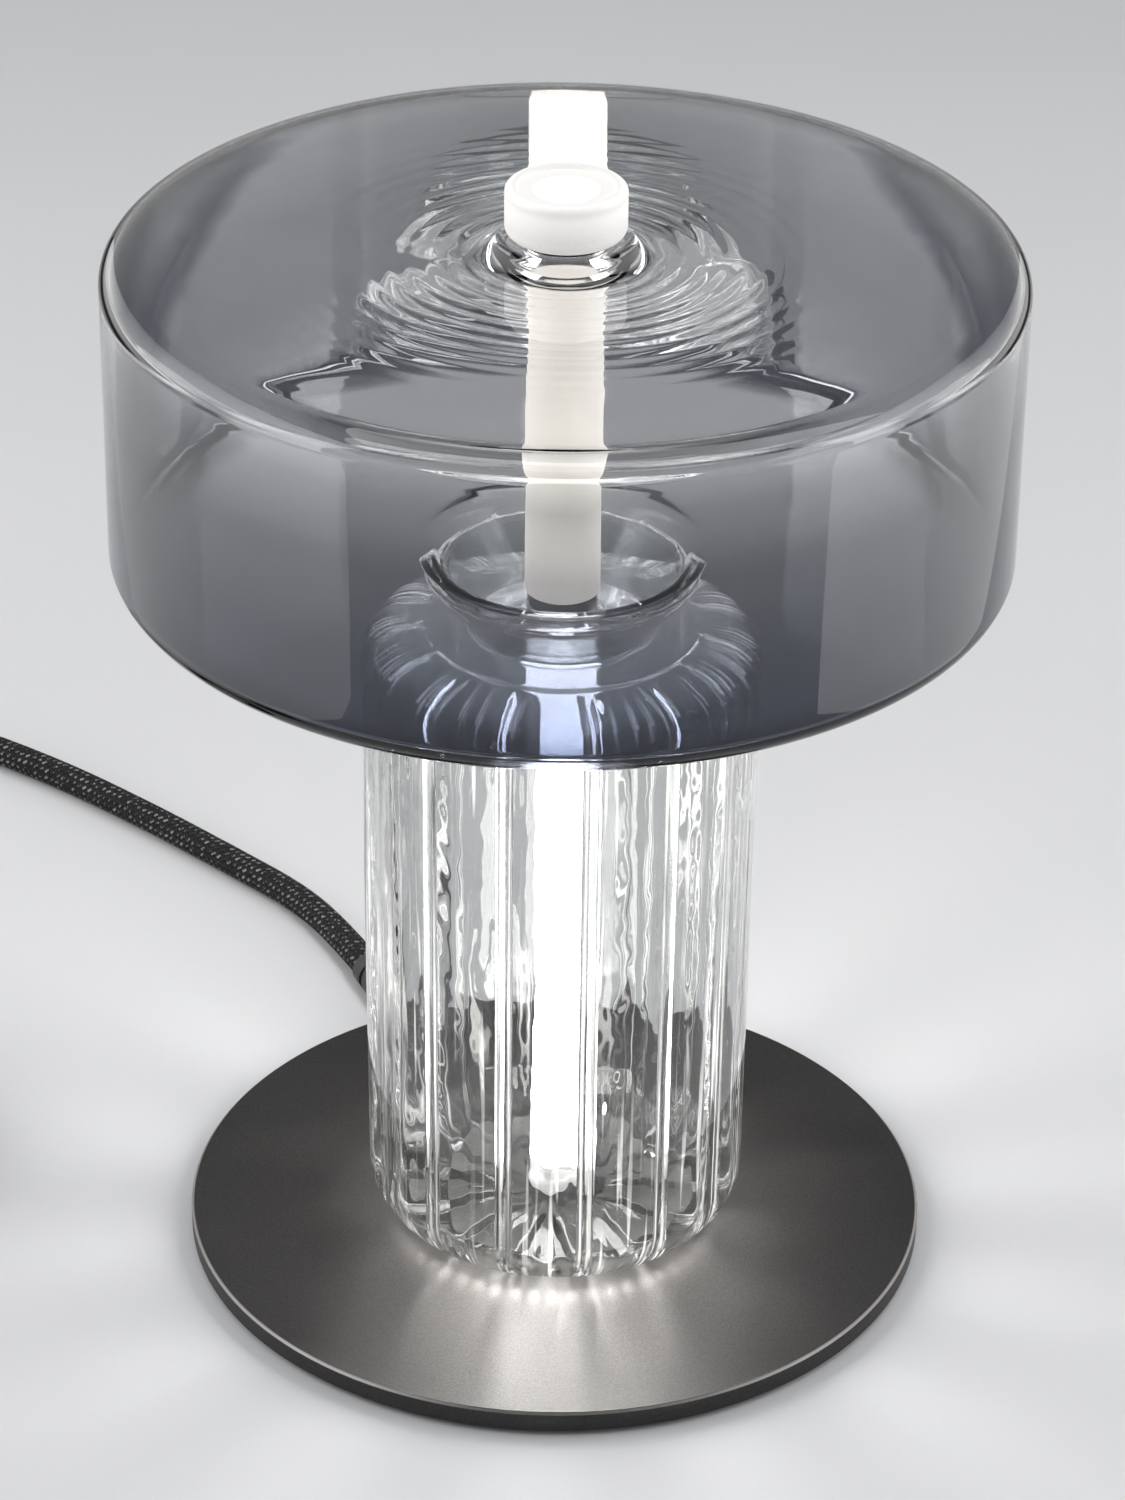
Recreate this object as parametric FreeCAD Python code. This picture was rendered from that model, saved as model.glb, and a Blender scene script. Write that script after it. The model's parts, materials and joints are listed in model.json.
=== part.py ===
import FreeCAD, Part
import math
import os

# Glass table lamp: a steel disc, a ribbed clear vase, a smoke glass drum on its mouth, and a column
# of two frosted tubes of light diodes on a tie rod, closed by a frosted cap that screws on.
# Millimetres. +Z is up, and the origin is the centre of the base on the table. The lamp is seen from -Y.

os.makedirs("parts", exist_ok=True)
Vec = FreeCAD.Vector
ORIGIN = Vec(0, 0, 0)
UP = Vec(0, 0, 1)
ACROSS = Vec(1, 0, 0)
ALONG = Vec(0, 1, 0)

# Steel base disc
base_radius = 90.0
base_thickness = 5.4
base_top_chamfer = 0.6
base_bottom_chamfer = 0.5
plate_over_pocket = 1.2
pocket_radius = 16.0
channel_width = 7.0
foot_height = 1.0
foot_recess = 0.6
foot_inset = 4.0
foot_width = 8.0
cover_thickness = 1.0
cover_inset = 0.2
cover_clamp_gap = 4.5
cover_screw_inset = 10.0
cover_screw_count = 3
screw_radius = 1.25
screw_head_height = 0.9
screw_length = 3.4
screw_clearance = 0.05
cut_overrun = 1.0

# Tie rod, its nuts and the wires inside it
rod_radius = 2.5
rod_bore_radius = 1.5
rod_clearance = 0.2
nut_across_flats = 8.0
nut_height = 1.8
washer_radius = 6.5
washer_thickness = 0.5
lead_radius = 0.33
lead_spacing = 1.3
lead_bend_radius = 1.2
lead_gap = 0.02

# Ribbed clear vase
vase_gasket_thickness = 0.6
vase_gasket_inner_radius = 9.0
vase_gasket_outer_radius = 31.0
vase_foot_radius = 45.8
vase_top_radius = 46.9
vase_foot_corner = 13.0
vase_wall = 2.6
vase_floor = 3.0
vase_floor_hole_radius = 4.2
vase_straight_height = 150.0
vase_shoulder_rise = 9.5
vase_shoulder_depth = 25.4
vase_flat_radius = 32.0
vase_flat_inset = 0.5
vase_crease_drop = 0.5
vase_crease_run = 0.9
vase_shoulder_flat = 2.0
vase_lip_wall = 2.4
vase_lip_share = 0.86
vase_lip_round_share = 0.05
vase_lip_slant_share = 0.04
vase_throat_share = 0.22
vase_throat_flat = 1.0
vase_throat_round = 0.6
rib_count = 14
rib_width = 2.2
rib_height = 1.3
rib_root = 0.8
rib_start_radius = 10.0
rib_turn = 21.7

# Smoke glass drum: its neck is a cone that sits in the mouth of the vase
drum_radius = 104.3
drum_height = 76.2
drum_wall = 3.2
drum_top_corner_depth = 9.0
drum_top_corner_drop = 5.5
drum_foot_corner_depth = 8.0
drum_foot_corner_rise = 6.0
drum_above_shoulder = 18.9
cone_root_radius = 31.0
cone_root_drop = 1.8
cone_tip_radius = 17.2
cone_tip_drop = 19.2
cone_end_drop = 21.0
cone_end_radius = 15.0
cone_end_round = 1.1
cone_root_round = 1.4
cone_blend = 2.9
neck_tip_share = 0.05
drum_lip_radius = 14.6
drum_lip_height = 3.9
drum_lip_blend = 5.5
drum_lip_flare = 1.5
drum_lip_side = 1.2
drum_lip_round = 0.8
drum_lip_edge = 1.0
drum_bore_clearance = 0.6
seat_ring_thickness = 0.5
seat_ring_clearance = 0.1
seat_ring_start_share = 0.25
seat_ring_end_share = 0.8

# Column of light: frosted tubes, cores with strips of diodes, and the ring between the tubes
lower_tube_radius = 8.2
lower_tube_wall = 1.5
lower_tube_end = 2.4
lower_tube_end_round = 2.5
thread_ring_count = 5
thread_ring_pitch = 2.0
thread_ring_depth = 0.4
upper_tube_radius = 8.7
upper_tube_wall = 1.7
tube_below_lip = 1.5
collar_radius = 6.6
collar_flange = 1.3
collar_stem_radius = 3.9
glass_gap = 0.3
crown_radius = 8.2
crown_height = 8.8
crown_above_shoulder = 2.0
crown_slot_count = 12
crown_slot_width = 2.5
crown_slot_height = 1.8
crown_slot_depth = 1.4
spigot_length = 3.0
spigot_clearance = 0.1
core_gap = 0.3
lower_core_width = 8.0
upper_core_width = 8.4
core_turn = 45.0
strip_thickness = 0.6
lower_strip_width = 5.0
upper_strip_width = 5.4
strip_end_gap = 2.0
top_plug_length = 4.5
top_plug_flange = 0.6

# Frosted cap and its brass insert
cap_radius = 13.8
cap_height = 11.8
cap_edge = 1.6
cap_foot_edge = 2.4
cap_rim_inner_radius = 11.3
cap_rim_round = 0.5
cap_rim_slope = 0.6
cap_rim_foot = 0.3
cap_dish_radius = 7.5
cap_ledge_drop = 1.2
cap_dish_drop = 2.4
cap_recess_radius = 6.0
cap_recess_depth = 2.9
cap_gasket_thickness = 0.7
cap_gasket_inner_radius = 9.8
cap_gasket_outer_radius = 11.2
insert_radius = 4.5
insert_height = 5.4
insert_clearance = 0.05
thread_clearance = 0.06
rod_in_insert = 5.0

# Cord: a round textile lead that leaves the back of the base, with a switch, a coil and a power adaptor
cord_diameter = 7.8
cord_direction = 25.0
boot_axis_height = 4.9
boot_length = 26.0
boot_root_radius = 5.6
boot_tip_radius = 4.6
boot_grip = 12.0
boot_tongue_overrun = 1.5
boot_tongue_width = 6.6
boot_tongue_height = 2.6
boot_side_clearance = 0.2
boot_table_clearance = 0.3
boot_groove_count = 4
boot_groove_start = 0.8
boot_groove_width = 1.6
boot_groove_depth = 0.7
clamp_length = 24.0
clamp_width = 8.0
clamp_foot_gap = 0.57
clamp_screw_offset = 8.5

# Inline switch, along Y
switch_x = -242.0
switch_y = 137.0
switch_length = 66.0
switch_width = 26.0
switch_height = 14.4
switch_split = 6.2
switch_corner = 8.0
switch_edge = 1.6
switch_wall = 1.8
cord_entry_clearance = 0.3
cord_entry_depth = 8.0
cord_straight_back = 9.0
cord_straight_front = 13.0
rocker_length = 16.4
rocker_width = 9.0
rocker_pivot_height = 10.2
rocker_rise = 4.0
rocker_dip = 1.0
rocker_drop = 2.2
rocker_tilt = 8.0
rocker_end_slope = 2.4
rocker_side_gap = 0.3
rocker_end_gap = 0.8
pin_radius = 1.0
pin_clearance = 0.06
pin_ear_thickness = 1.4
pin_ear_drop = 1.6
contact_length = 9.0
contact_width = 4.0
contact_height = 2.4
contact_offset = 11.5
boss_radius = 2.6
boss_x = 8.4
boss_y = 22.0
boss_screw_radius = 1.1
boss_screw_length = 10.0
boss_screw_head_radius = 2.0
boss_screw_head_height = 1.2

# Coil of the put-away length: two layers that spiral in and out again
coil_x = -205.0
coil_y = 26.0
coil_outer_radius = 52.4
coil_pitch = 8.4
coil_layer_height = 8.4
coil_turns = 5
coil_points_per_turn = 4
coil_climb_turns = 0.5
coil_lead_in_length = 29.0
coil_lead_out_length = 17.0
arc_share = 0.45

# Power adaptor at the end of the cord, lying on its back along Y with its two pins up
adaptor_x = -250.0
adaptor_y = -94.0
adaptor_length = 60.0
adaptor_width = 40.0
adaptor_height = 28.0
adaptor_split = 15.0
adaptor_corner = 6.0
adaptor_edge = 2.0
adaptor_wall = 2.0
plug_boot_length = 22.0
plug_boot_root_radius = 6.2
plug_boot_tip_radius = 4.9
plug_boot_height = 6.5
plug_cord_straight = 16.2
plug_pin_radius = 2.0
plug_pin_length = 19.0
plug_pin_spacing = 18.6
plug_pin_offset = 4.0
plug_pin_root = 8.0
plug_pin_root_radius = 1.6
plug_pin_boss_radius = 4.0
plug_pin_tip = 0.9
board_thickness = 1.6
board_margin = 1.5
board_post_radius = 2.0
board_post_height = 5.0
board_post_inset = 4.0
transformer_length = 16.0
transformer_width = 14.0
transformer_height = 12.0
capacitor_radius = 4.0
capacitor_height = 14.0

# Heights that follow from the sizes above
base_bottom = foot_height
base_top = base_bottom + base_thickness
cover_bottom = base_bottom + cover_inset
cover_top = cover_bottom + cover_thickness
pocket_top = base_top - plate_over_pocket
foot_outer_radius = base_radius - foot_inset
foot_inner_radius = foot_outer_radius - foot_width
clamp_outer_y = math.sqrt((foot_inner_radius - clamp_foot_gap) ** 2 - clamp_length**2 / 4)
clamp_y = clamp_outer_y - clamp_width / 2
clamp_inner_y = clamp_outer_y - clamp_width
cover_radius = clamp_inner_y - cover_clamp_gap
cover_screw_circle = cover_radius - cover_screw_inset
screw_head_radius = screw_radius + screw_head_height
vase_bottom = base_top + vase_gasket_thickness
vase_floor_top = vase_bottom + vase_floor
vase_shoulder_start = vase_bottom + vase_straight_height
vase_shoulder_top = vase_shoulder_start + vase_shoulder_rise
drum_bottom = vase_shoulder_top + drum_above_shoulder
drum_top = drum_bottom + drum_height
drum_lip_top = drum_top + drum_lip_height
drum_bore_radius = upper_tube_radius + drum_bore_clearance
cap_bottom = drum_lip_top + cap_gasket_thickness
cap_top = cap_bottom + cap_height
collar_top = vase_floor_top + glass_gap + collar_flange
lower_tube_top = vase_shoulder_top + crown_above_shoulder
crown_top = lower_tube_top + crown_height
upper_tube_top = drum_lip_top - tube_below_lip
rod_hole_radius = rod_radius + rod_clearance
washer_bottom = pocket_top - washer_thickness
rod_bottom = washer_bottom - nut_height
insert_bottom = cap_bottom + cap_recess_depth
rod_top = insert_bottom + rod_in_insert
cord_radius = cord_diameter / 2


class Outline:
    """A closed outline in the half plane of radius and height, turned about the lamp's axis."""

    def __init__(self, radius, height):
        self.first = Vec(radius, 0, height)
        self.last = self.first
        self.edges = []

    def line(self, radius, height):
        end = Vec(radius, 0, height)
        self.edges.append(Part.LineSegment(self.last, end).toShape())
        self.last = end
        return self

    def bend(self, apex_radius, apex_height, radius, height):
        """A round that leaves towards the apex and arrives from it."""
        end = Vec(radius, 0, height)
        curve = Part.BezierCurve()
        curve.setPoles([self.last, Vec(apex_radius, 0, apex_height), end])
        curve.setWeight(2, math.sqrt(0.5))
        self.edges.append(curve.toShape())
        self.last = end
        return self

    def solid(self):
        self.line(self.first.x, self.first.z)
        return Part.Face(Part.Wire(self.edges)).revolve(ORIGIN, UP, 360)


def ring(inner, outer, bottom, top):
    body = Part.makeCylinder(outer, top - bottom, Vec(0, 0, bottom))
    if inner > 0:
        body = body.cut(Part.makeCylinder(inner, top - bottom, Vec(0, 0, bottom)))
    return body


def box(x0, x1, y0, y1, z0, z1):
    return Part.makeBox(x1 - x0, y1 - y0, z1 - z0, Vec(x0, y0, z0))


def around(shape, count, first=0.0):
    """Copies of a shape in a circle about the lamp's axis."""
    copies = []
    for number in range(count):
        copy = shape.copy()
        copy.rotate(ORIGIN, UP, first + 360.0 * number / count)
        copies.append(copy)
    return copies


def to_cord_side(shape):
    """Turns a shape made along +Y to where the cord leaves the base."""
    turned = shape.copy()
    turned.rotate(ORIGIN, UP, cord_direction)
    return turned


def hexagon(across_flats, bottom, height):
    corner = across_flats / math.sqrt(3)
    points = []
    for number in range(7):
        angle = math.radians(60 * number)
        points.append(Vec(corner * math.cos(angle), corner * math.sin(angle), bottom))
    return Part.Face(Part.makePolygon(points)).extrude(Vec(0, 0, height))


def countersunk_screw(x, y, bottom, length, radius, head_radius):
    """A flat-headed screw whose head is at the bottom."""
    head = Part.makeCone(head_radius, radius, head_radius - radius, Vec(x, y, bottom))
    shank = Part.makeCylinder(radius, length, Vec(x, y, bottom))
    return head.fuse(shank).removeSplitter()


def soft_box(length, width, bottom, top, corner, edge, round_top):
    """A box along Y, centred on the axis, with round corners and one softened end face."""
    x = width / 2
    y = length / 2
    body = box(-x, x, -y, y, bottom, top)
    upright = [e for e in body.Edges if abs(e.tangentAt(e.FirstParameter).z) > 0.9]
    body = body.makeFillet(corner, upright)
    level = top if round_top else bottom
    rim = [e for e in body.Edges if abs(e.BoundBox.ZMin - level) < 1e-4 and e.BoundBox.ZLength < 1e-4]
    return body.makeFillet(edge, rim)


def save(name, shape):
    if not shape.isValid():
        print("not valid:", name)
    print(name, "solids", len(shape.Solids), "volume", round(shape.Volume, 1))
    shape.exportStep("parts/" + name + ".step")


# Base plate
boot_inner_end = base_radius - boot_grip
notch_half_width = boot_root_radius + boot_side_clearance
tongue_end = clamp_inner_y - boot_tongue_overrun
base_plate = (
    Outline(0, base_bottom)
    .line(base_radius - base_bottom_chamfer, base_bottom)
    .line(base_radius, base_bottom + base_bottom_chamfer)
    .line(base_radius, base_top - base_top_chamfer)
    .line(base_radius - base_top_chamfer, base_top)
    .line(0, base_top)
    .solid()
)
rod_hole = ring(0, rod_hole_radius, base_bottom, base_top)
cover_recess = ring(0, cover_radius + cover_inset, base_bottom, cover_top)
wiring_pocket = ring(0, pocket_radius, base_bottom, pocket_top)
foot_groove = ring(foot_inner_radius, foot_outer_radius, base_bottom, base_bottom + foot_recess)
channel = box(-channel_width / 2, channel_width / 2, 0, boot_inner_end, base_bottom, pocket_top)
notch = box(
    -notch_half_width,
    notch_half_width,
    boot_inner_end,
    base_radius + cut_overrun,
    base_bottom - cut_overrun,
    base_top + cut_overrun,
)
clamp_recess = box(
    -clamp_length / 2 - cover_inset,
    clamp_length / 2 + cover_inset,
    clamp_y - clamp_width / 2 - cover_inset,
    clamp_y + clamp_width / 2 + cover_inset,
    base_bottom,
    cover_top,
)
hole_radius = screw_radius + screw_clearance
cover_screw_hole = Part.makeCylinder(hole_radius, screw_length, Vec(0, cover_screw_circle, cover_bottom))
clamp_screw_holes = [
    Part.makeCylinder(hole_radius, screw_length, Vec(side * clamp_screw_offset, clamp_y, cover_bottom))
    for side in (-1, 1)
]
cover_screw_turn = cord_direction + 180.0 / cover_screw_count
cuts = [rod_hole, cover_recess, wiring_pocket, foot_groove]
cuts += [to_cord_side(shape) for shape in [channel, notch, clamp_recess] + clamp_screw_holes]
cuts += around(cover_screw_hole, cover_screw_count, cover_screw_turn)
base_plate = base_plate.cut(cuts)
save("base_plate", base_plate)

# Cover under the wiring, and its screws
screw_seat = Part.makeCone(
    screw_head_radius + screw_clearance,
    hole_radius,
    screw_head_radius - screw_radius,
    Vec(0, cover_screw_circle, cover_bottom),
)
cover_cuts = around(cover_screw_hole, cover_screw_count, cover_screw_turn)
cover_cuts += around(screw_seat, cover_screw_count, cover_screw_turn)
base_cover = ring(0, cover_radius, cover_bottom, cover_top).cut(cover_cuts)
save("base_cover", base_cover)
cover_screw = countersunk_screw(
    0, cover_screw_circle, cover_bottom, screw_length, screw_radius, screw_head_radius
)
save("cover_screws", Part.makeCompound(around(cover_screw, cover_screw_count, cover_screw_turn)))

# Rubber foot ring, open where the cord leaves
foot_ring = ring(foot_inner_radius, foot_outer_radius, 0, base_bottom + foot_recess)
foot_gap = box(-notch_half_width, notch_half_width, 0, base_radius, 0, base_top)
foot_ring = foot_ring.cut(to_cord_side(foot_gap))
save("foot_ring", foot_ring)

# Rubber boot round the cord: a grip in the notch, a tongue under the clamp, and a tapered sleeve
boot_start = Vec(0, boot_inner_end, boot_axis_height)
boot_end_y = base_radius + boot_length
grip = Part.makeCylinder(boot_root_radius, boot_grip, boot_start, ALONG)
sleeve = Part.makeCone(
    boot_root_radius, boot_tip_radius, boot_length, Vec(0, base_radius, boot_axis_height), ALONG
)
tongue = box(
    -boot_tongue_width / 2,
    boot_tongue_width / 2,
    tongue_end,
    boot_inner_end + cut_overrun,
    cover_top,
    cover_top + boot_tongue_height,
)
boot = grip.fuse([sleeve, tongue])
groove_pitch = boot_length / (boot_groove_count + 1)
for number in range(boot_groove_count):
    groove_y = base_radius + groove_pitch * (number + boot_groove_start)
    groove_outer = Part.makeCylinder(
        boot_root_radius + cut_overrun, boot_groove_width, Vec(0, groove_y, boot_axis_height), ALONG
    )
    taper = (boot_root_radius - boot_tip_radius) / boot_length
    groove_radius = boot_root_radius - boot_groove_depth - taper * (groove_y - base_radius)
    groove_core = Part.makeCylinder(
        groove_radius, boot_groove_width, Vec(0, groove_y, boot_axis_height), ALONG
    )
    boot = boot.cut(groove_outer.cut(groove_core))
under_boot = box(
    -base_radius, base_radius, 0, boot_end_y + cut_overrun, -base_thickness, boot_table_clearance
)
boot = boot.cut(under_boot).removeSplitter()
save("cord_boot", to_cord_side(boot))

# Clamp plate over the tongue of the boot
clamp = box(
    -clamp_length / 2,
    clamp_length / 2,
    clamp_y - clamp_width / 2,
    clamp_y + clamp_width / 2,
    cover_bottom,
    cover_top,
)
clamp_screws = []
for side in (-1, 1):
    x = side * clamp_screw_offset
    clamp = clamp.cut(
        [
            Part.makeCylinder(hole_radius, screw_length, Vec(x, clamp_y, cover_bottom)),
            Part.makeCone(
                screw_head_radius + screw_clearance,
                hole_radius,
                screw_head_radius - screw_radius,
                Vec(x, clamp_y, cover_bottom),
            ),
        ]
    )
    clamp_screws.append(
        countersunk_screw(x, clamp_y, cover_bottom, screw_length, screw_radius, screw_head_radius)
    )
save("cord_clamp", to_cord_side(clamp))
save("clamp_screws", to_cord_side(Part.makeCompound(clamp_screws)))

# Two thin wires from the boot to the middle of the base, and up inside the tie rod
leads = []
lead_level = cover_top + lead_radius + lead_gap
for side in (-1, 1):
    x = side * lead_spacing / 2
    lead_start = Vec(x, tongue_end, lead_level)
    bend_start = Vec(x, lead_bend_radius, lead_level)
    bend_middle = Vec(
        x,
        lead_bend_radius * (1 - math.sin(math.pi / 4)),
        lead_level + lead_bend_radius * (1 - math.cos(math.pi / 4)),
    )
    bend_end = Vec(x, 0, lead_level + lead_bend_radius)
    lead_path = Part.Wire(
        [
            Part.LineSegment(lead_start, bend_start).toShape(),
            Part.Arc(bend_start, bend_middle, bend_end).toShape(),
            Part.LineSegment(bend_end, Vec(x, 0, crown_top)).toShape(),
        ]
    )
    lead_section = Part.Wire(Part.makeCircle(lead_radius, lead_start, ALONG))
    leads.append(to_cord_side(lead_path.makePipeShell([lead_section], True, False)))
save("lamp_leads", Part.makeCompound(leads))

# Tie rod with its bottom washer and nut
save("tie_rod", ring(rod_bore_radius, rod_radius, rod_bottom, rod_top))
save("stem_washer", ring(rod_hole_radius, washer_radius, washer_bottom, pocket_top))
nut_bore = Part.makeCylinder(rod_radius + thread_clearance, nut_height, Vec(0, 0, rod_bottom))
save("stem_nut", hexagon(nut_across_flats, rod_bottom, nut_height).cut(nut_bore))

# Cone between the drum's neck and the mouth of the vase
cone_root_height = drum_bottom - cone_root_drop
cone_tip_height = drum_bottom - cone_tip_drop
cone_end_height = drum_bottom - cone_end_drop
cone_run = cone_root_radius - cone_tip_radius
cone_rise = cone_root_height - cone_tip_height
cone_length = math.hypot(cone_run, cone_rise)
mouth_gap = seat_ring_thickness + 2 * seat_ring_clearance


def on_cone(share, depth):
    """A point on the cone, from its tip at 0 to its root at 1, a depth outside the drum's glass."""
    return (
        cone_tip_radius + cone_run * share + depth * cone_rise / cone_length,
        cone_tip_height + cone_rise * share - depth * cone_run / cone_length,
    )


def cone_share(height, depth):
    """How far along the cone a height lies, a depth outside the drum's glass."""
    return (height - cone_tip_height + depth * cone_run / cone_length) / cone_rise


# Clear gasket under the vase
save("vase_gasket", ring(vase_gasket_inner_radius, vase_gasket_outer_radius, base_top, vase_bottom))

# Vase: straight wall, round shoulder, throat and flared mouth
vase_inner_foot = vase_foot_radius - vase_wall
vase_inner_top = vase_top_radius - vase_wall
shoulder_inner_radius = vase_top_radius - vase_shoulder_depth
under_shoulder = vase_shoulder_top - vase_wall
lip_end_share = vase_lip_share + vase_lip_round_share
lip_inner = on_cone(vase_lip_share, mouth_gap)
lip_outer = on_cone(vase_lip_share - vase_lip_slant_share, mouth_gap + vase_lip_wall)
lip_apex_out = on_cone(lip_end_share, mouth_gap + vase_lip_wall)
lip_top = on_cone(lip_end_share, mouth_gap + vase_lip_wall / 2)
lip_apex_in = on_cone(lip_end_share, mouth_gap)
throat_outer = on_cone(vase_throat_share, mouth_gap + vase_lip_wall)
throat_inner = on_cone(0.0, mouth_gap)
shoulder_end_radius = shoulder_inner_radius + vase_shoulder_flat
throat_end_radius = shoulder_inner_radius - vase_throat_flat
crease_foot = vase_shoulder_top - vase_crease_drop
inner_flat_radius = vase_flat_radius - vase_flat_inset
vase = (
    Outline(vase_floor_hole_radius, vase_bottom)
    .line(vase_foot_radius - vase_foot_corner, vase_bottom)
    .bend(vase_foot_radius, vase_bottom, vase_foot_radius, vase_bottom + vase_foot_corner)
    .line(vase_top_radius, vase_shoulder_start)
    .bend(vase_top_radius, crease_foot, vase_flat_radius + vase_crease_run, crease_foot)
    .line(vase_flat_radius, vase_shoulder_top)
    .line(shoulder_end_radius, vase_shoulder_top)
    .bend(shoulder_inner_radius, vase_shoulder_top, *throat_outer)
    .line(*lip_outer)
    .bend(*lip_apex_out, *lip_top)
    .bend(*lip_apex_in, *lip_inner)
    .line(*throat_inner)
    .bend(throat_inner[0] - vase_throat_round, under_shoulder, throat_end_radius, under_shoulder)
    .line(inner_flat_radius, under_shoulder)
    .bend(vase_inner_top, under_shoulder, vase_inner_top, vase_shoulder_start)
    .line(vase_inner_foot, vase_bottom + vase_foot_corner)
    .bend(vase_inner_foot, vase_floor_top, vase_foot_radius - vase_foot_corner, vase_floor_top)
    .line(vase_floor_hole_radius, vase_floor_top)
    .solid()
)


def rib_line(outline, depth, forward):
    """The inside of the vase from the floor to the shoulder, moved in by a depth, either way along it."""
    wall_foot = (vase_inner_foot - depth, vase_bottom + vase_foot_corner)
    wall_top = (vase_inner_top - depth, vase_shoulder_start)
    floor_corner = (vase_inner_foot - depth, vase_floor_top + depth)
    floor_end = (vase_foot_radius - vase_foot_corner, vase_floor_top + depth)
    shoulder_corner = (vase_inner_top - depth, under_shoulder - depth)
    shoulder_end = (inner_flat_radius, under_shoulder - depth)
    if forward:
        outline.line(*floor_end)
        outline.bend(*floor_corner, *wall_foot)
        outline.line(*wall_top)
        outline.bend(*shoulder_corner, *shoulder_end)
    else:
        outline.line(*shoulder_end)
        outline.bend(*shoulder_corner, *wall_top)
        outline.line(*wall_foot)
        outline.bend(*floor_corner, *floor_end)
    return outline


rib_outline = Outline(rib_start_radius, vase_floor_top - rib_root)
rib_line(rib_outline, -rib_root, True)
rib_line(rib_outline, rib_height, False)
rib_band = rib_outline.line(rib_start_radius, vase_floor_top + rib_height).solid()
rib_slab = box(0, vase_top_radius, -rib_width / 2, rib_width / 2, vase_bottom, vase_shoulder_top)
ribs = [rib_band.common(slab) for slab in around(rib_slab, rib_count, rib_turn)]
vase = vase.fuse(ribs).removeSplitter()
save("vase", vase)

# Ring between the drum's cone and the vase's mouth
ring_inside = seat_ring_clearance
ring_outside = seat_ring_clearance + seat_ring_thickness
ring_points = [
    on_cone(seat_ring_start_share, ring_inside),
    on_cone(seat_ring_end_share, ring_inside),
    on_cone(seat_ring_end_share, ring_outside),
    on_cone(seat_ring_start_share, ring_outside),
]
seat_ring = Outline(*ring_points[0])
for point in ring_points[1:]:
    seat_ring.line(*point)
save("drum_seat_ring", seat_ring.solid())

# Drum: a blown vessel, open below through its cone-shaped neck, with a raised lip round the bore on top
drum_inner_radius = drum_radius - drum_wall
drum_inner_top = drum_top - drum_wall
drum_inner_bottom = drum_bottom + drum_wall
top_corner = drum_radius - drum_top_corner_depth
foot_corner = drum_radius - drum_foot_corner_depth
blend_end = cone_root_radius + cone_blend
neck_root_apex = on_cone(cone_share(drum_inner_bottom, -drum_wall), -drum_wall)
neck_root = on_cone(1.0, -drum_wall)
neck_tip = on_cone(neck_tip_share, -drum_wall)
neck_tip_apex = on_cone(cone_share(cone_end_height, -drum_wall), -drum_wall)
lip_foot = drum_lip_radius + drum_lip_blend
lip_side_radius = drum_lip_radius + drum_lip_flare
lip_side_height = drum_lip_top - drum_lip_side
drum = (
    Outline(*neck_tip)
    .bend(*neck_tip_apex, cone_end_radius, cone_end_height)
    .bend(cone_end_radius + cone_end_round, cone_end_height, cone_tip_radius, cone_tip_height)
    .line(cone_root_radius, cone_root_height)
    .bend(cone_root_radius + cone_root_round, drum_bottom, blend_end, drum_bottom)
    .line(foot_corner, drum_bottom)
    .bend(drum_radius, drum_bottom, drum_radius, drum_bottom + drum_foot_corner_rise)
    .line(drum_radius, drum_top - drum_top_corner_drop)
    .bend(drum_radius, drum_top, top_corner, drum_top)
    .line(lip_foot, drum_top)
    .bend(lip_foot - drum_lip_blend / 2, drum_top, lip_side_radius, lip_side_height)
    .bend(drum_lip_radius + drum_lip_round, drum_lip_top, drum_lip_radius - drum_lip_edge, drum_lip_top)
    .line(drum_bore_radius, drum_lip_top)
    .line(drum_bore_radius, drum_inner_top)
    .line(top_corner, drum_inner_top)
    .bend(drum_inner_radius, drum_inner_top, drum_inner_radius, drum_top - drum_top_corner_drop)
    .line(drum_inner_radius, drum_bottom + drum_foot_corner_rise)
    .bend(drum_inner_radius, drum_inner_bottom, foot_corner, drum_inner_bottom)
    .line(blend_end, drum_inner_bottom)
    .bend(*neck_root_apex, *neck_root)
    .solid()
)
save("drum", drum)

# Collar that stands on the base plate, through the vase's floor, and carries the tubes
foot_collar = ring(rod_hole_radius, collar_stem_radius, base_top, collar_top)
foot_collar = foot_collar.fuse(
    ring(rod_hole_radius, collar_radius, vase_floor_top + glass_gap, collar_top)
).removeSplitter()
save("foot_collar", foot_collar)

# Lower frosted tube, with a round end and thread-like rings
lower_bore = lower_tube_radius - lower_tube_wall
rounding_top = collar_top + lower_tube_end_round
lower_tube = Outline(rod_hole_radius, collar_top)
lower_tube.line(lower_tube_radius - lower_tube_end_round, collar_top)
lower_tube.bend(lower_tube_radius, collar_top, lower_tube_radius, rounding_top)
for number in range(thread_ring_count):
    ring_bottom = rounding_top + thread_ring_pitch * (number + 0.5)
    groove_bottom = lower_tube_radius - thread_ring_depth
    lower_tube.line(lower_tube_radius, ring_bottom)
    lower_tube.line(groove_bottom, ring_bottom + thread_ring_pitch / 4)
    lower_tube.line(lower_tube_radius, ring_bottom + thread_ring_pitch / 2)
lower_tube.line(lower_tube_radius, lower_tube_top)
lower_tube.line(lower_bore, lower_tube_top)
lower_tube.line(lower_bore, collar_top + lower_tube_end)
lower_tube.line(rod_hole_radius, collar_top + lower_tube_end)
save("lower_tube", lower_tube.solid())

# Upper frosted tube
upper_bore = upper_tube_radius - upper_tube_wall
save("upper_tube", ring(upper_bore, upper_tube_radius, crown_top, upper_tube_top))

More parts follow.
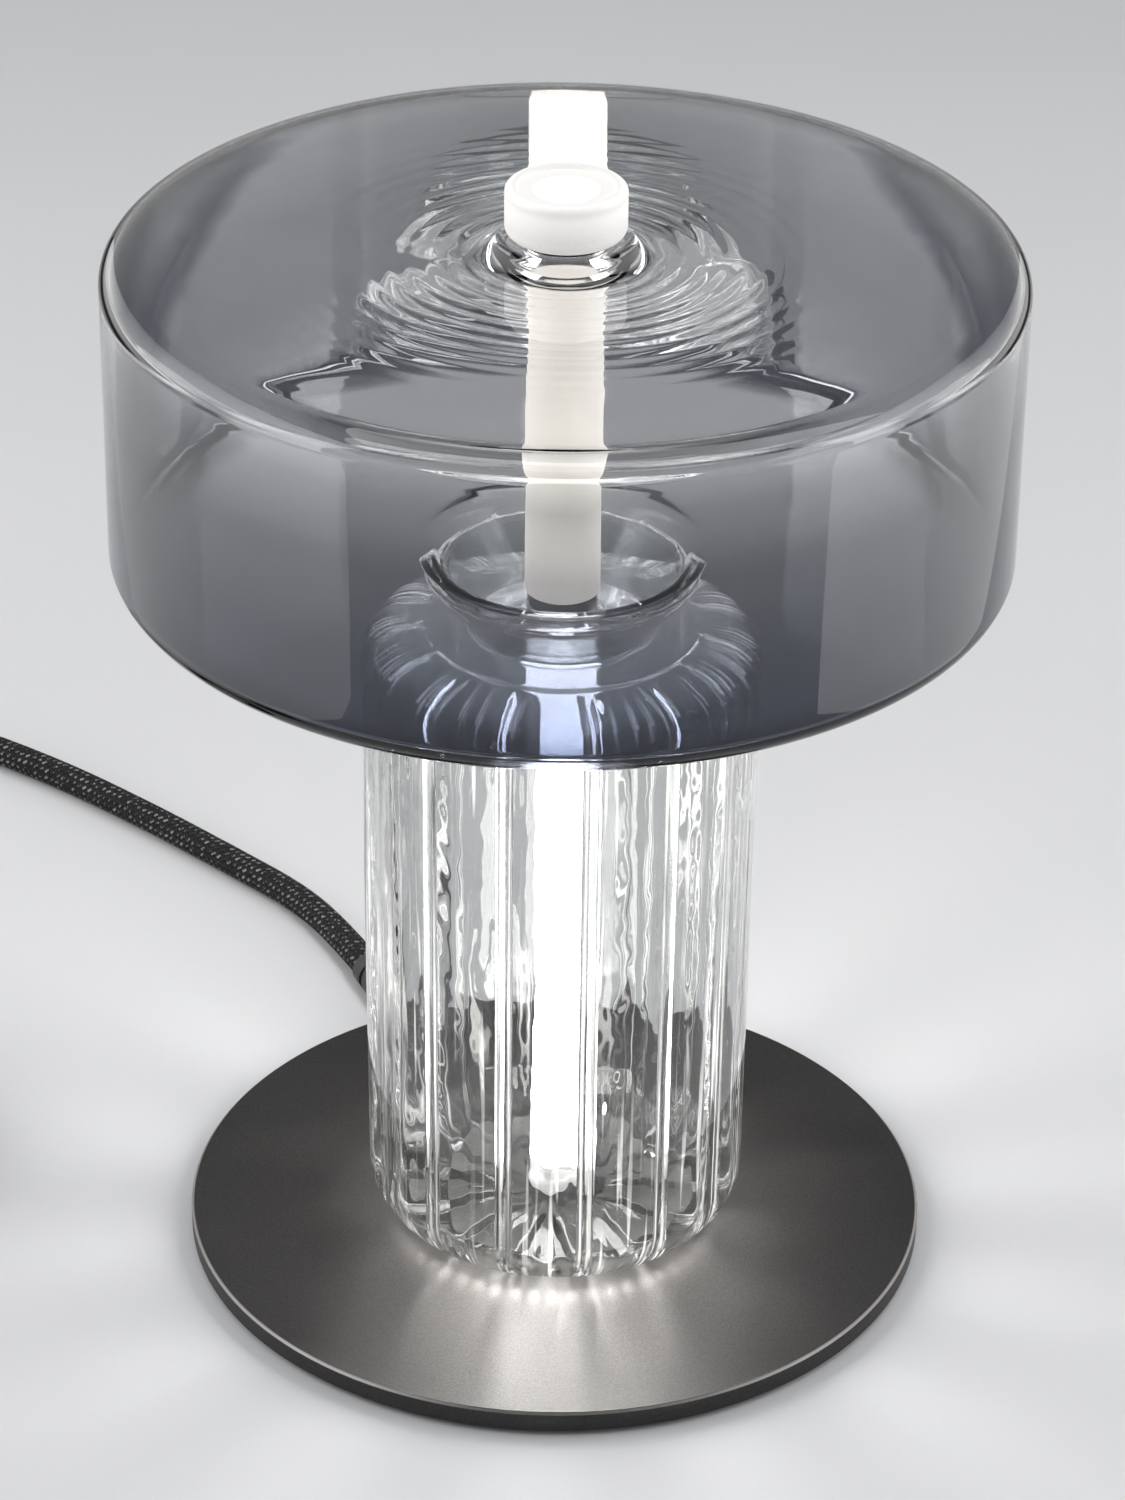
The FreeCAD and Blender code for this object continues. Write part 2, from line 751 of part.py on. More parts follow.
# Crown ring between the tubes: slots round its lower edge and a spigot into each tube
crown = ring(rod_hole_radius, crown_radius, lower_tube_top, crown_top)
crown_spigots = [
    ring(rod_hole_radius, lower_bore - spigot_clearance, lower_tube_top - spigot_length, lower_tube_top),
    ring(rod_hole_radius, upper_bore - spigot_clearance, crown_top, crown_top + spigot_length),
]
crown_slot = box(
    crown_radius - crown_slot_depth,
    crown_radius + cut_overrun,
    -crown_slot_width / 2,
    crown_slot_width / 2,
    lower_tube_top,
    lower_tube_top + crown_slot_height,
)
crown = crown.cut(around(crown_slot, crown_slot_count, 90)).fuse(crown_spigots).removeSplitter()
save("crown_ring", crown)

# Square cores with a strip of diodes on each side


def core_and_strips(name, width, strip_width, bottom, top):
    half = width / 2
    core = box(-half, half, -half, half, bottom, top)
    core = core.cut(Part.makeCylinder(rod_hole_radius, top - bottom, Vec(0, 0, bottom)))
    core.rotate(ORIGIN, UP, core_turn)
    save(name + "_led_core", core)
    strip = box(
        half,
        half + strip_thickness,
        -strip_width / 2,
        strip_width / 2,
        bottom + strip_end_gap,
        top - strip_end_gap,
    )
    save(name + "_led_strips", Part.makeCompound(around(strip, 4, core_turn)))


core_and_strips(
    "lower",
    lower_core_width,
    lower_strip_width,
    collar_top + lower_tube_end,
    lower_tube_top - spigot_length - core_gap,
)
core_and_strips(
    "upper",
    upper_core_width,
    upper_strip_width,
    crown_top + spigot_length,
    upper_tube_top - top_plug_length - core_gap,
)

# Plug in the top of the upper tube, and the nut that clamps the column to the base
top_plug = ring(
    rod_hole_radius, upper_bore - spigot_clearance, upper_tube_top - top_plug_length, upper_tube_top
)
top_plug_top = upper_tube_top + top_plug_flange
top_plug = top_plug.fuse(
    ring(rod_hole_radius, upper_tube_radius, upper_tube_top, top_plug_top)
).removeSplitter()
save("top_plug", top_plug)
top_nut_bore = Part.makeCylinder(rod_radius + thread_clearance, nut_height, Vec(0, 0, top_plug_top))
save("top_nut", hexagon(nut_across_flats, top_plug_top, nut_height).cut(top_nut_bore))

# Cap with its gasket and threaded insert
save(
    "cap_gasket",
    ring(cap_gasket_inner_radius, cap_gasket_outer_radius, drum_lip_top, cap_bottom),
)
insert_top = insert_bottom + insert_height
cap_ledge = cap_top - cap_ledge_drop
cap_dish = cap_top - cap_dish_drop
cap_rim_end = cap_rim_inner_radius - cap_rim_slope
cap = (
    Outline(cap_recess_radius, cap_bottom)
    .line(cap_radius - cap_foot_edge, cap_bottom)
    .bend(cap_radius, cap_bottom, cap_radius, cap_bottom + cap_foot_edge)
    .line(cap_radius, cap_top - cap_edge)
    .bend(cap_radius, cap_top, cap_radius - cap_edge, cap_top)
    .line(cap_rim_inner_radius + cap_rim_round, cap_top)
    .bend(cap_rim_inner_radius, cap_top, cap_rim_end, cap_ledge + cap_rim_foot)
    .line(cap_dish_radius, cap_ledge)
    .bend(cap_dish_radius / 2, cap_dish, 0, cap_dish)
    .line(0, insert_top)
    .line(insert_radius + insert_clearance, insert_top)
    .line(insert_radius + insert_clearance, insert_bottom)
    .line(cap_recess_radius, insert_bottom)
    .solid()
)
save("cap", cap)
save("cap_insert", ring(rod_radius + thread_clearance, insert_radius, insert_bottom, insert_top))

# Cord


def cord_tube(name, points):
    """A tube along straight runs with a tangent arc at each point between them, as large as fits."""
    edges = []
    last = points[0]
    radii = []
    for before, point, after in zip(points, points[1:], points[2:]):
        into = point - before
        out = after - point
        half_turn = into.getAngle(out) / 2
        cut_back = arc_share * min(into.Length, out.Length)
        radii.append(round(cut_back / math.tan(half_turn), 1))
        arc_start = point - into.normalize() * cut_back
        arc_end = point + out.normalize() * cut_back
        weight = math.cos(half_turn)
        arc_middle = (arc_start + point * (2 * weight) + arc_end) * (1 / (2 + 2 * weight))
        edges.append(Part.LineSegment(last, arc_start).toShape())
        edges.append(Part.Arc(arc_start, arc_middle, arc_end).toShape())
        last = arc_end
    edges.append(Part.LineSegment(last, points[-1]).toShape())
    path = Part.Wire(edges)
    section = Part.Wire(Part.makeCircle(cord_radius, points[0], points[1] - points[0]))
    tube = path.makePipeShell([section], True, False)
    steady = math.pi * cord_radius**2 * path.Length
    print(name, "length", round(path.Length, 1), "radii", radii)
    print(name, "volume share", round(tube.Volume / steady, 4))
    save(name, tube)
    return path.Length


on_table = cord_radius
exit_angle = math.radians(90 + cord_direction)
exit_way = Vec(math.cos(exit_angle), math.sin(exit_angle), 0)
cord_exit = exit_way * boot_end_y + Vec(0, 0, boot_axis_height)
switch_cord_height = switch_split
switch_back = switch_y + switch_length / 2
switch_front = switch_y - switch_length / 2
lamp_cord_points = [
    cord_exit,
    Vec(-56.9, 122.0, 4.6),
    Vec(-68.5, 141.0, 4.1),
    Vec(-86.5, 159.3, on_table),
    Vec(-112.0, 184.0, on_table),
    Vec(-140.5, 209.0, on_table),
    Vec(-171.0, 230.0, on_table),
    Vec(-203.0, 233.5, on_table),
    Vec(-228.0, 219.0, on_table),
    Vec(-239.6, 199.0, 5.2),
    Vec(switch_x, switch_back + cord_straight_back, switch_cord_height),
    Vec(switch_x, switch_back - cord_entry_depth, switch_cord_height),
]
total_length = cord_tube("lamp_cord", lamp_cord_points)

coil_start_x = coil_x - coil_outer_radius
supply_cord_points = [
    Vec(switch_x, switch_front + cord_entry_depth, switch_cord_height),
    Vec(switch_x, switch_front - cord_straight_front, switch_cord_height),
    Vec(coil_start_x, coil_y + coil_lead_in_length, on_table),
    Vec(coil_start_x, coil_y + cord_diameter, on_table),
]
total_length += cord_tube("supply_cord", supply_cord_points)

# Coil: in on the lower layer, a climb where it reverses, out on the upper layer


def coil_place(turn):
    """Point on the coil's centre line after so many turns."""
    middle = coil_turns / 2
    inward = min(turn, coil_turns - turn)
    climb = min(max((turn - middle) / coil_climb_turns + 0.5, 0.0), 1.0)
    climb = climb * climb * (3 - 2 * climb)
    radius = coil_outer_radius - coil_pitch * inward
    angle = math.pi + 2 * math.pi * turn
    return Vec(
        coil_x + radius * math.cos(angle),
        coil_y + radius * math.sin(angle),
        on_table + coil_layer_height * climb,
    )


def coil_heading(turn):
    step = 0.01
    first = max(turn - step, 0.0)
    last = min(turn + step, float(coil_turns))
    heading = coil_place(last) - coil_place(first)
    return heading.normalize()


def arc_edge(start, control, end):
    """The arc from start to end whose two tangents meet at the control point."""
    weight = (end - start).Length / 2 / (control - start).Length
    middle = (start + control * (2 * weight) + end) * (1 / (2 + 2 * weight))
    return Part.Arc(start, middle, end).toShape()


def biarc(start, start_way, end, end_way):
    """Two arcs that join two points and leave and arrive along the given directions."""
    chord = end - start
    both = start_way + end_way
    spread = 2 * (1 - start_way.dot(end_way))
    across = chord.dot(both)
    reach = (math.sqrt(across**2 + spread * chord.dot(chord)) - across) / spread
    first_control = start + start_way * reach
    second_control = end - end_way * reach
    join = (first_control + second_control) * 0.5
    return [arc_edge(start, first_control, join), arc_edge(join, second_control, end)]


coil_steps = coil_turns * coil_points_per_turn
coil_marks = [number / coil_points_per_turn for number in range(coil_steps + 1)]
straight_down = Vec(0, -1, 0)
coil_lead_in = coil_place(0.0) - straight_down * cord_diameter
coil_lead_out = coil_place(float(coil_turns)) + straight_down * cord_diameter
coil_edges = [Part.LineSegment(coil_lead_in, coil_place(0.0)).toShape()]
for first, last in zip(coil_marks, coil_marks[1:]):
    first_way = straight_down if first == 0 else coil_heading(first)
    last_way = straight_down if last == coil_turns else coil_heading(last)
    coil_edges += biarc(coil_place(first), first_way, coil_place(last), last_way)
coil_edges.append(Part.LineSegment(coil_place(float(coil_turns)), coil_lead_out).toShape())
coil_path = Part.Wire(coil_edges)
coil_section = Part.Wire(Part.makeCircle(cord_radius, coil_lead_in, straight_down))
cord_coil = coil_path.makePipeShell([coil_section], True, False)
coil_points = coil_path.discretize(Distance=cord_diameter / 5)
spacing = coil_path.Length / (len(coil_points) - 1)
apart = int(3 * cord_diameter / spacing)
least = min(
    (a - b).Length
    for number, a in enumerate(coil_points)
    for b in coil_points[number + apart:]
)
coil_share = cord_coil.Volume / (math.pi * cord_radius**2 * coil_path.Length)
print("cord_coil length", round(coil_path.Length, 1), "least gap", round(least - cord_diameter, 2))
print("cord_coil volume share", round(coil_share, 4))
save("cord_coil", cord_coil)
total_length += coil_path.Length

adaptor_back = adaptor_y + adaptor_length / 2
plug_cord_points = [
    coil_lead_out,
    coil_lead_out + straight_down * coil_lead_out_length,
    Vec(adaptor_x, adaptor_back + plug_boot_length + plug_cord_straight, plug_boot_height),
    Vec(adaptor_x, adaptor_back + plug_boot_length, plug_boot_height),
]
total_length += cord_tube("plug_cord", plug_cord_points)
print("cord in all", round(total_length, 1), "with the switch", round(total_length + switch_length, 1))

# Inline switch


def at_switch(shape):
    return shape.translated(Vec(switch_x, switch_y, 0))


inner_length = switch_length - 2 * switch_wall
inner_width = switch_width - 2 * switch_wall
half_length = switch_length / 2
entry_bore = Part.makeCylinder(
    cord_radius + cord_entry_clearance, switch_length, Vec(0, -half_length, switch_split), ALONG
)
boss_places = [(boss_x, -boss_y), (-boss_x, boss_y)]
inner_corner = switch_corner - switch_wall


def switch_cavity(bottom, top, round_top):
    return soft_box(inner_length, inner_width, bottom, top, inner_corner, switch_edge / 2, round_top)


switch_base = soft_box(switch_length, switch_width, 0, switch_split, switch_corner, switch_edge, False)
switch_base = switch_base.cut(switch_cavity(switch_wall, switch_split + cut_overrun, False))
switch_cover_top = switch_height - switch_wall
switch_cover = soft_box(
    switch_length, switch_width, switch_split, switch_height, switch_corner, switch_edge, True
)
switch_cover = switch_cover.cut(switch_cavity(switch_split - cut_overrun, switch_cover_top, True))
for x, y in boss_places:
    lower_boss = Part.makeCylinder(boss_radius, switch_split - switch_wall / 2, Vec(x, y, switch_wall / 2))
    switch_base = switch_base.fuse(lower_boss)
    upper_boss = Part.makeCylinder(
        boss_radius, switch_cover_top - switch_split + switch_wall / 2, Vec(x, y, switch_split)
    )
    switch_cover = switch_cover.fuse(upper_boss)
pin_half = rocker_width / 2 + rocker_side_gap + pin_ear_thickness
ears = []
for side in (-1, 1):
    inner_x = side * (rocker_width / 2 + rocker_side_gap)
    outer_x = side * pin_half
    ear_half = pin_radius + pin_ear_drop
    ears.append(
        box(
            min(inner_x, outer_x),
            max(inner_x, outer_x),
            -ear_half,
            ear_half,
            rocker_pivot_height - pin_ear_drop - pin_radius,
            switch_cover_top + switch_wall / 2,
        )
    )
switch_cover = switch_cover.fuse(ears)
opening_x = rocker_width / 2 + rocker_side_gap
opening_y = rocker_length / 2 + rocker_end_gap
rocker_opening = box(
    -opening_x, opening_x, -opening_y, opening_y, rocker_pivot_height, switch_height + cut_overrun
)
pin_bore = Part.makeCylinder(
    pin_radius + pin_clearance / 2, 2 * pin_half, Vec(-pin_half, 0, rocker_pivot_height), ACROSS
)
switch_cuts = [entry_bore]
for x, y in boss_places:
    screw_bore = Part.makeCylinder(
        boss_screw_radius + screw_clearance, boss_screw_length, Vec(x, y, 0)
    )
    head_bore = Part.makeCylinder(
        boss_screw_head_radius + screw_clearance, boss_screw_head_height, Vec(x, y, 0)
    )
    switch_cuts += [screw_bore, head_bore]
switch_base = switch_base.cut(switch_cuts).removeSplitter()
switch_cover = switch_cover.cut(switch_cuts + [rocker_opening, pin_bore]).removeSplitter()
save("switch_base", at_switch(switch_base))
save("switch_cover", at_switch(switch_cover))

# Rocker, at rest with its lamp-side end down
rocker_half = rocker_length / 2
rocker_foot = rocker_half - rocker_end_slope
rocker_outline = [
    (-rocker_foot, -rocker_drop),
    (rocker_foot, -rocker_drop),
    (rocker_half, 0.0),
    (rocker_half, rocker_rise),
    (0.0, rocker_rise - rocker_dip),
    (-rocker_half, rocker_rise),
    (-rocker_half, 0.0),
]
rocker_corners = [Vec(-rocker_width / 2, y, rocker_pivot_height + z) for y, z in rocker_outline]
rocker = Part.Face(Part.makePolygon(rocker_corners + rocker_corners[:1])).extrude(Vec(rocker_width, 0, 0))
rocker_bore = Part.makeCylinder(
    pin_radius + pin_clearance, rocker_width, Vec(-rocker_width / 2, 0, rocker_pivot_height), ACROSS
)
rocker = rocker.cut(rocker_bore)
rocker.rotate(Vec(0, 0, rocker_pivot_height), ACROSS, -rocker_tilt)
save("switch_rocker", at_switch(rocker))
rocker_pin = Part.makeCylinder(pin_radius, 2 * pin_half, Vec(-pin_half, 0, rocker_pivot_height), ACROSS)
save("rocker_pin", at_switch(rocker_pin))

contacts = []
for side in (-1, 1):
    middle = side * contact_offset
    contacts.append(
        box(
            -contact_width / 2,
            contact_width / 2,
            middle - contact_length / 2,
            middle + contact_length / 2,
            switch_wall,
            switch_wall + contact_height,
        )
    )
save("switch_contacts", at_switch(Part.makeCompound(contacts)))
switch_screws = []
for x, y in boss_places:
    shank = Part.makeCylinder(boss_screw_radius, boss_screw_length, Vec(x, y, 0))
    head = Part.makeCylinder(boss_screw_head_radius, boss_screw_head_height, Vec(x, y, 0))
    switch_screws.append(shank.fuse(head).removeSplitter())
save("switch_screws", at_switch(Part.makeCompound(switch_screws)))

# Power adaptor


def at_adaptor(shape):
    return shape.translated(Vec(adaptor_x, adaptor_y, 0))


adaptor_inner_length = adaptor_length - 2 * adaptor_wall
adaptor_inner_width = adaptor_width - 2 * adaptor_wall
adaptor_inner_corner = adaptor_corner - adaptor_wall


def adaptor_cavity(bottom, top, round_top):
    return soft_box(
        adaptor_inner_length,
        adaptor_inner_width,
        bottom,
        top,
        adaptor_inner_corner,
        adaptor_edge / 2,
        round_top,
    )


adaptor_base = soft_box(
    adaptor_length, adaptor_width, 0, adaptor_split, adaptor_corner, adaptor_edge, False
)
adaptor_base = adaptor_base.cut(adaptor_cavity(adaptor_wall, adaptor_split + cut_overrun, False))
board_bottom = adaptor_wall + board_post_height
post_x = adaptor_inner_width / 2 - board_post_inset
post_y = adaptor_inner_length / 2 - board_post_inset
for x in (-post_x, post_x):
    for y in (-post_y, post_y):
        post = Part.makeCylinder(
            board_post_radius, board_bottom - adaptor_wall / 2, Vec(x, y, adaptor_wall / 2)
        )
        adaptor_base = adaptor_base.fuse(post)
save("adaptor_base", at_adaptor(adaptor_base.removeSplitter()))

roof = adaptor_height - adaptor_wall
adaptor_cover = soft_box(
    adaptor_length, adaptor_width, adaptor_split, adaptor_height, adaptor_corner, adaptor_edge, True
)
adaptor_cover = adaptor_cover.cut(adaptor_cavity(adaptor_split - cut_overrun, roof, True))
pins = []
pin_bottom = adaptor_height - plug_pin_root
for side in (-1, 1):
    pin_x = side * plug_pin_spacing / 2
    pin_root_place = Vec(pin_x, plug_pin_offset, pin_bottom)
    pin_place = Vec(pin_x, plug_pin_offset, adaptor_height)
    pin = Part.makeCylinder(plug_pin_radius, plug_pin_length, pin_place)
    tip = [e for e in pin.Edges if abs(e.BoundBox.ZMin - adaptor_height - plug_pin_length) < 1e-4]
    pin = pin.makeFillet(plug_pin_tip, tip)
    pins.append(pin.fuse(Part.makeCylinder(plug_pin_root_radius, plug_pin_root, pin_root_place)))
    boss = Part.makeCylinder(plug_pin_boss_radius, plug_pin_root - adaptor_wall / 2, pin_root_place)
    bore = Part.makeCylinder(
        plug_pin_root_radius + screw_clearance, plug_pin_root + cut_overrun, pin_root_place
    )
    adaptor_cover = adaptor_cover.fuse(boss).cut(bore)
save("adaptor_cover", at_adaptor(adaptor_cover.removeSplitter()))
save("plug_pins", at_adaptor(Part.makeCompound(pins)))

board_x = adaptor_inner_width / 2 - board_margin
board_y = adaptor_inner_length / 2 - board_margin
board_top = board_bottom + board_thickness
board = box(-board_x, board_x, -board_y, board_y, board_bottom, board_top)
transformer = box(
    -transformer_width / 2,
    transformer_width / 2,
    -board_y + board_margin,
    -board_y + board_margin + transformer_length,
    board_top,
    board_top + transformer_height,
)
capacitor = Part.makeCylinder(
    capacitor_radius, capacitor_height, Vec(0, board_y - 2 * capacitor_radius, board_top)
)
save("adaptor_board", at_adaptor(board.fuse([transformer, capacitor]).removeSplitter()))
plug_boot = Part.makeCone(
    plug_boot_root_radius,
    plug_boot_tip_radius,
    plug_boot_length,
    Vec(0, adaptor_length / 2, plug_boot_height),
    ALONG,
)
save("plug_boot", at_adaptor(plug_boot))
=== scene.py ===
import bpy
import bmesh
import json
import math
from mathutils import Matrix, Vector, noise


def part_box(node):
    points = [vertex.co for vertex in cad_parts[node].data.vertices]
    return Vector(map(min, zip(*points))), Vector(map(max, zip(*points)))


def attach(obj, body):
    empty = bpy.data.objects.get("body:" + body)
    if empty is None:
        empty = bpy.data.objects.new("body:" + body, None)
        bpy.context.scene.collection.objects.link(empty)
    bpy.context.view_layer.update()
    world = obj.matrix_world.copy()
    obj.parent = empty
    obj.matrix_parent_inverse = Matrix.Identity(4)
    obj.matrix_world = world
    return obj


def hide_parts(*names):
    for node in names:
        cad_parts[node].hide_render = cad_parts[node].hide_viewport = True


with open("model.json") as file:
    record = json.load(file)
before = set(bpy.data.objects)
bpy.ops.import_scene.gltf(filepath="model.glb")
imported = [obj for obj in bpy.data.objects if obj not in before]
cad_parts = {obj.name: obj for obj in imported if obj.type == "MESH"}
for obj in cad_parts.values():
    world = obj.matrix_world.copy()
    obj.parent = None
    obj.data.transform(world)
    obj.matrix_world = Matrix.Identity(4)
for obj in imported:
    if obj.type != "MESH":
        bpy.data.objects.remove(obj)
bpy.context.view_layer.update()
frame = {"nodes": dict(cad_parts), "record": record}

# Glass table lamp, lit: a ribbed clear vase on a steel disc carries a smoke glass drum, with a frosted
# column of light through both. Lengths are in millimetres unless a comment says metres, and MM is one
# millimetre in metres.

MM = 0.001
scene = bpy.context.scene

# Places and sizes taken from the frame
crown_spigot_length = 3.0
base_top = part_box("base_plate")[1][2] / MM
base_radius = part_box("base_plate")[1][0] / MM
vase_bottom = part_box("vase")[0][2] / MM
drum_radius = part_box("drum")[1][0] / MM
drum_lip_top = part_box("drum")[1][2] / MM
drum_cone_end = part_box("drum")[0][2] / MM
upper_tube_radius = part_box("upper_tube")[1][0] / MM
upper_tube_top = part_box("upper_tube")[1][2] / MM
lower_tube_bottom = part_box("lower_tube")[0][2] / MM
lower_tube_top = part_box("lower_tube")[1][2] / MM
crown_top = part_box("crown_ring")[1][2] / MM - crown_spigot_length
crown_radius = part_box("crown_ring")[1][0] / MM
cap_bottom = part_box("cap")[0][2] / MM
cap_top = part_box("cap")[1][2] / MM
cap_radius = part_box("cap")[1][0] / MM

# Ribbed vase
vase_foot_radius = 45.8
vase_top_radius = 46.9
vase_foot_corner = 13.0
vase_wall = 2.6
vase_floor = 3.0
vase_hole_radius = 4.2
vase_hole_edge_width = 0.3
vase_hole_edge_height = 0.4
vase_straight_height = 150.0
vase_shoulder_rise = 9.5
vase_shoulder_depth = 25.4
vase_shoulder_flat = 2.0
vase_flat_radius = 32.0
vase_flat_inset = 0.5
vase_crease_drop = 0.5
vase_crease_run = 0.9
vase_lip_wall = 2.4
vase_lip_share = 0.86
vase_lip_round_share = 0.05
vase_lip_slant_share = 0.04
vase_throat_share = 0.22
vase_throat_flat = 1.0
vase_throat_round = 0.6
mouth_gap = 0.7
shoulder_start = vase_bottom + vase_straight_height
shoulder_top = shoulder_start + vase_shoulder_rise
foot_flat_radius = vase_foot_radius - vase_foot_corner

# Ribs inside the vase. The columns are the mesh's, close over each rib and wider between.
rib_count = 14
rib_turn = 21.7
rib_half_width = 1.75
rib_height = 1.45
rib_roundness = 0.75
rib_wander = 0.25
rib_wander_drift = 0.02
rib_wander_step = 3.7
rib_wander_seed = 5.0
rib_skirt_height = 0.65
rib_start_radius = 9.0
rib_start_run = 8.0
roof_start_run = 2.5
rib_columns = 15
rib_columns_reach = 2.8
between_columns = 41

# Which faces of the vase count as inner wall, floor and roof, by their facing and place. Outside, its
# foot and mouth stay smooth.
wall_facing = 0.2
level_facing = 0.3
wall_beyond_radius = 30.0
floor_below_height = 20.0
roof_beyond_radius = 20.0
smooth_foot_height = 2.0
smooth_mouth_radius = vase_flat_radius + 1.0

# Unevenness of the vase's glass: depth, lumps in a radian, drift with height, and seed
outer_streaks = (0.07, 5.0, 0.01, 7.0)
wall_streaks = (0.30, 6.0, 0.012, 0.0)
fine_streaks = (0.09, 14.0, 0.02, 4.0)
chill_marks = (0.08, 9.0, 0.25, 9.0)
floor_star = (0.35, 9.0, 0.05, 0.0)
fine_floor_star = (0.14, 18.0, 0.1, 3.0)
roof_streak_gain = 1.6

# Light painted into the vase's glass as emission. A rib's wave is 1 at its middle and -1 between two ribs.
rib_line_rise = (0.90, 0.955)
rib_line_fall = (0.965, 0.99)
fine_line_width = 1.9
fine_line_drift = 0.035
fine_line_range = (0.60, 0.66)
fine_line_light = 0.8
rib_light = 0.95
shoulder_light = 3.0
roof_light = 0.6

# Smoke glass drum
drum_wall = 3.2
drum_top_corner_depth = 9.0
drum_top_corner_drop = 5.5
drum_foot_corner_depth = 8.0
drum_foot_corner_rise = 6.0
drum_lip_height = 3.9
drum_lip_radius = 14.6
drum_lip_blend = 5.5
drum_lip_flare = 1.5
drum_lip_side = 1.2
drum_lip_round = 0.8
drum_lip_edge = 1.0
drum_bore_gap = 0.6
drum_bore_edge = 0.4
drum_neck_drop = 21.0
cone_root_radius = 31.0
cone_root_drop = 1.8
cone_root_round = 1.4
cone_tip_radius = 17.2
cone_tip_drop = 19.2
cone_end_radius = 15.0
cone_end_round = 1.1
cone_blend = 2.9
neck_tip_share = 0.05
drum_columns = 288
drum_wave_depth = 0.16
drum_wave_lumps = 1.3
drum_wave_drift = 0.02
drum_ring_depth = 0.13
drum_ring_reach = 60.0
drum_ring_turn = 1.25
drum_ring_wander = 1.6
drum_roof_facing = 0.5
drum_roof_depth = 8.0
drum_smooth_radius = drum_lip_radius + 1.0
drum_smooth_height = 0.1
drum_bore_radius = upper_tube_radius + drum_bore_gap
drum_top = drum_lip_top - drum_lip_height
drum_bottom = drum_cone_end + drum_neck_drop

# Cord
cord_diameter = 7.8
cord_sides = 24
cord_line_steps = 16
braid_pitch = 2.1
braid_strands = 12
on_table = cord_diameter / 2
coil_x = -205.0
coil_y = 26.0
coil_outer_radius = 52.4
coil_pitch = 8.4
coil_layer_height = 8.4
coil_turns = 5
coil_climb_turns = 0.5
coil_points_per_turn = 16

# Light of the lamp itself
diode_pitch = 8.0
lamp_colour = (1.0, 0.965, 0.92)
# metal_glow_colour is the colour of light painted on metal parts as emission
metal_glow_colour = (1.0, 0.98, 0.95)
glow_lamp_radius = 2.0
least_lamp_share = 0.02

# Lamps in the vase that light the base: count, radius, height, watts and how much they keep to the front
column_lamps = (5, 11.0, 36.0, 0.17, 0)
foot_lamps = (14, 38.0, 15.5, 0.05, 0)
contact_lamps = (56, 41.0, 9.2, 0.0022, 2)

# Studio, in metres
floor_reach = 6.0
light_target = (0.0, 0.0, 0.16)
card_gap_share = 0.16
card_back_share = 0.2
backdrop_colour = (0.60, 0.60, 0.605)
fill_colour = (0.95, 0.97, 1.0)
fill_strength = 0.42
sky_heights = (0.05, 0.45)
mirrored_sky = (0.28, 0.06)
sky_through_glass = (0.60, 0.08)

# Camera, fitted to the photograph. Its angles are degrees away from a level view along +Y.
camera_place = Vector((-13.305, -1029.628, 730.409)) * MM
camera_turn = -0.775
camera_tilt = -30.116
camera_roll = 0.7
camera_lens = 121.055
camera_sensor = 36.0


def add_object(name, data):
    holder = bpy.data.objects.new(name, data)
    scene.collection.objects.link(holder)
    return holder


def as_mesh(name, shape):
    mesh = bpy.data.meshes.new(name)
    shape.to_mesh(mesh)
    shape.free()
    return mesh


# Camera
def add_camera():
    camera = bpy.data.cameras.new("camera")
    camera.lens = camera_lens
    camera.sensor_width = camera_sensor
    camera.clip_start = 0.02
    camera.clip_end = 40.0
    holder = add_object("camera", camera)
    turn = Matrix.Rotation(math.radians(camera_turn), 4, "Z")
    tilt = Matrix.Rotation(math.radians(90.0 + camera_tilt), 4, "X")
    roll = Matrix.Rotation(math.radians(camera_roll), 4, "Z")
    holder.matrix_world = Matrix.Translation(camera_place) @ turn @ tilt @ roll
    scene.camera = holder


add_camera()

# Node building
noise_roughness = 0.55
noise_range = (0.3, 0.7)
cloud_range = (0.35, 0.7)


def grey(level):
    return (level, level, level)


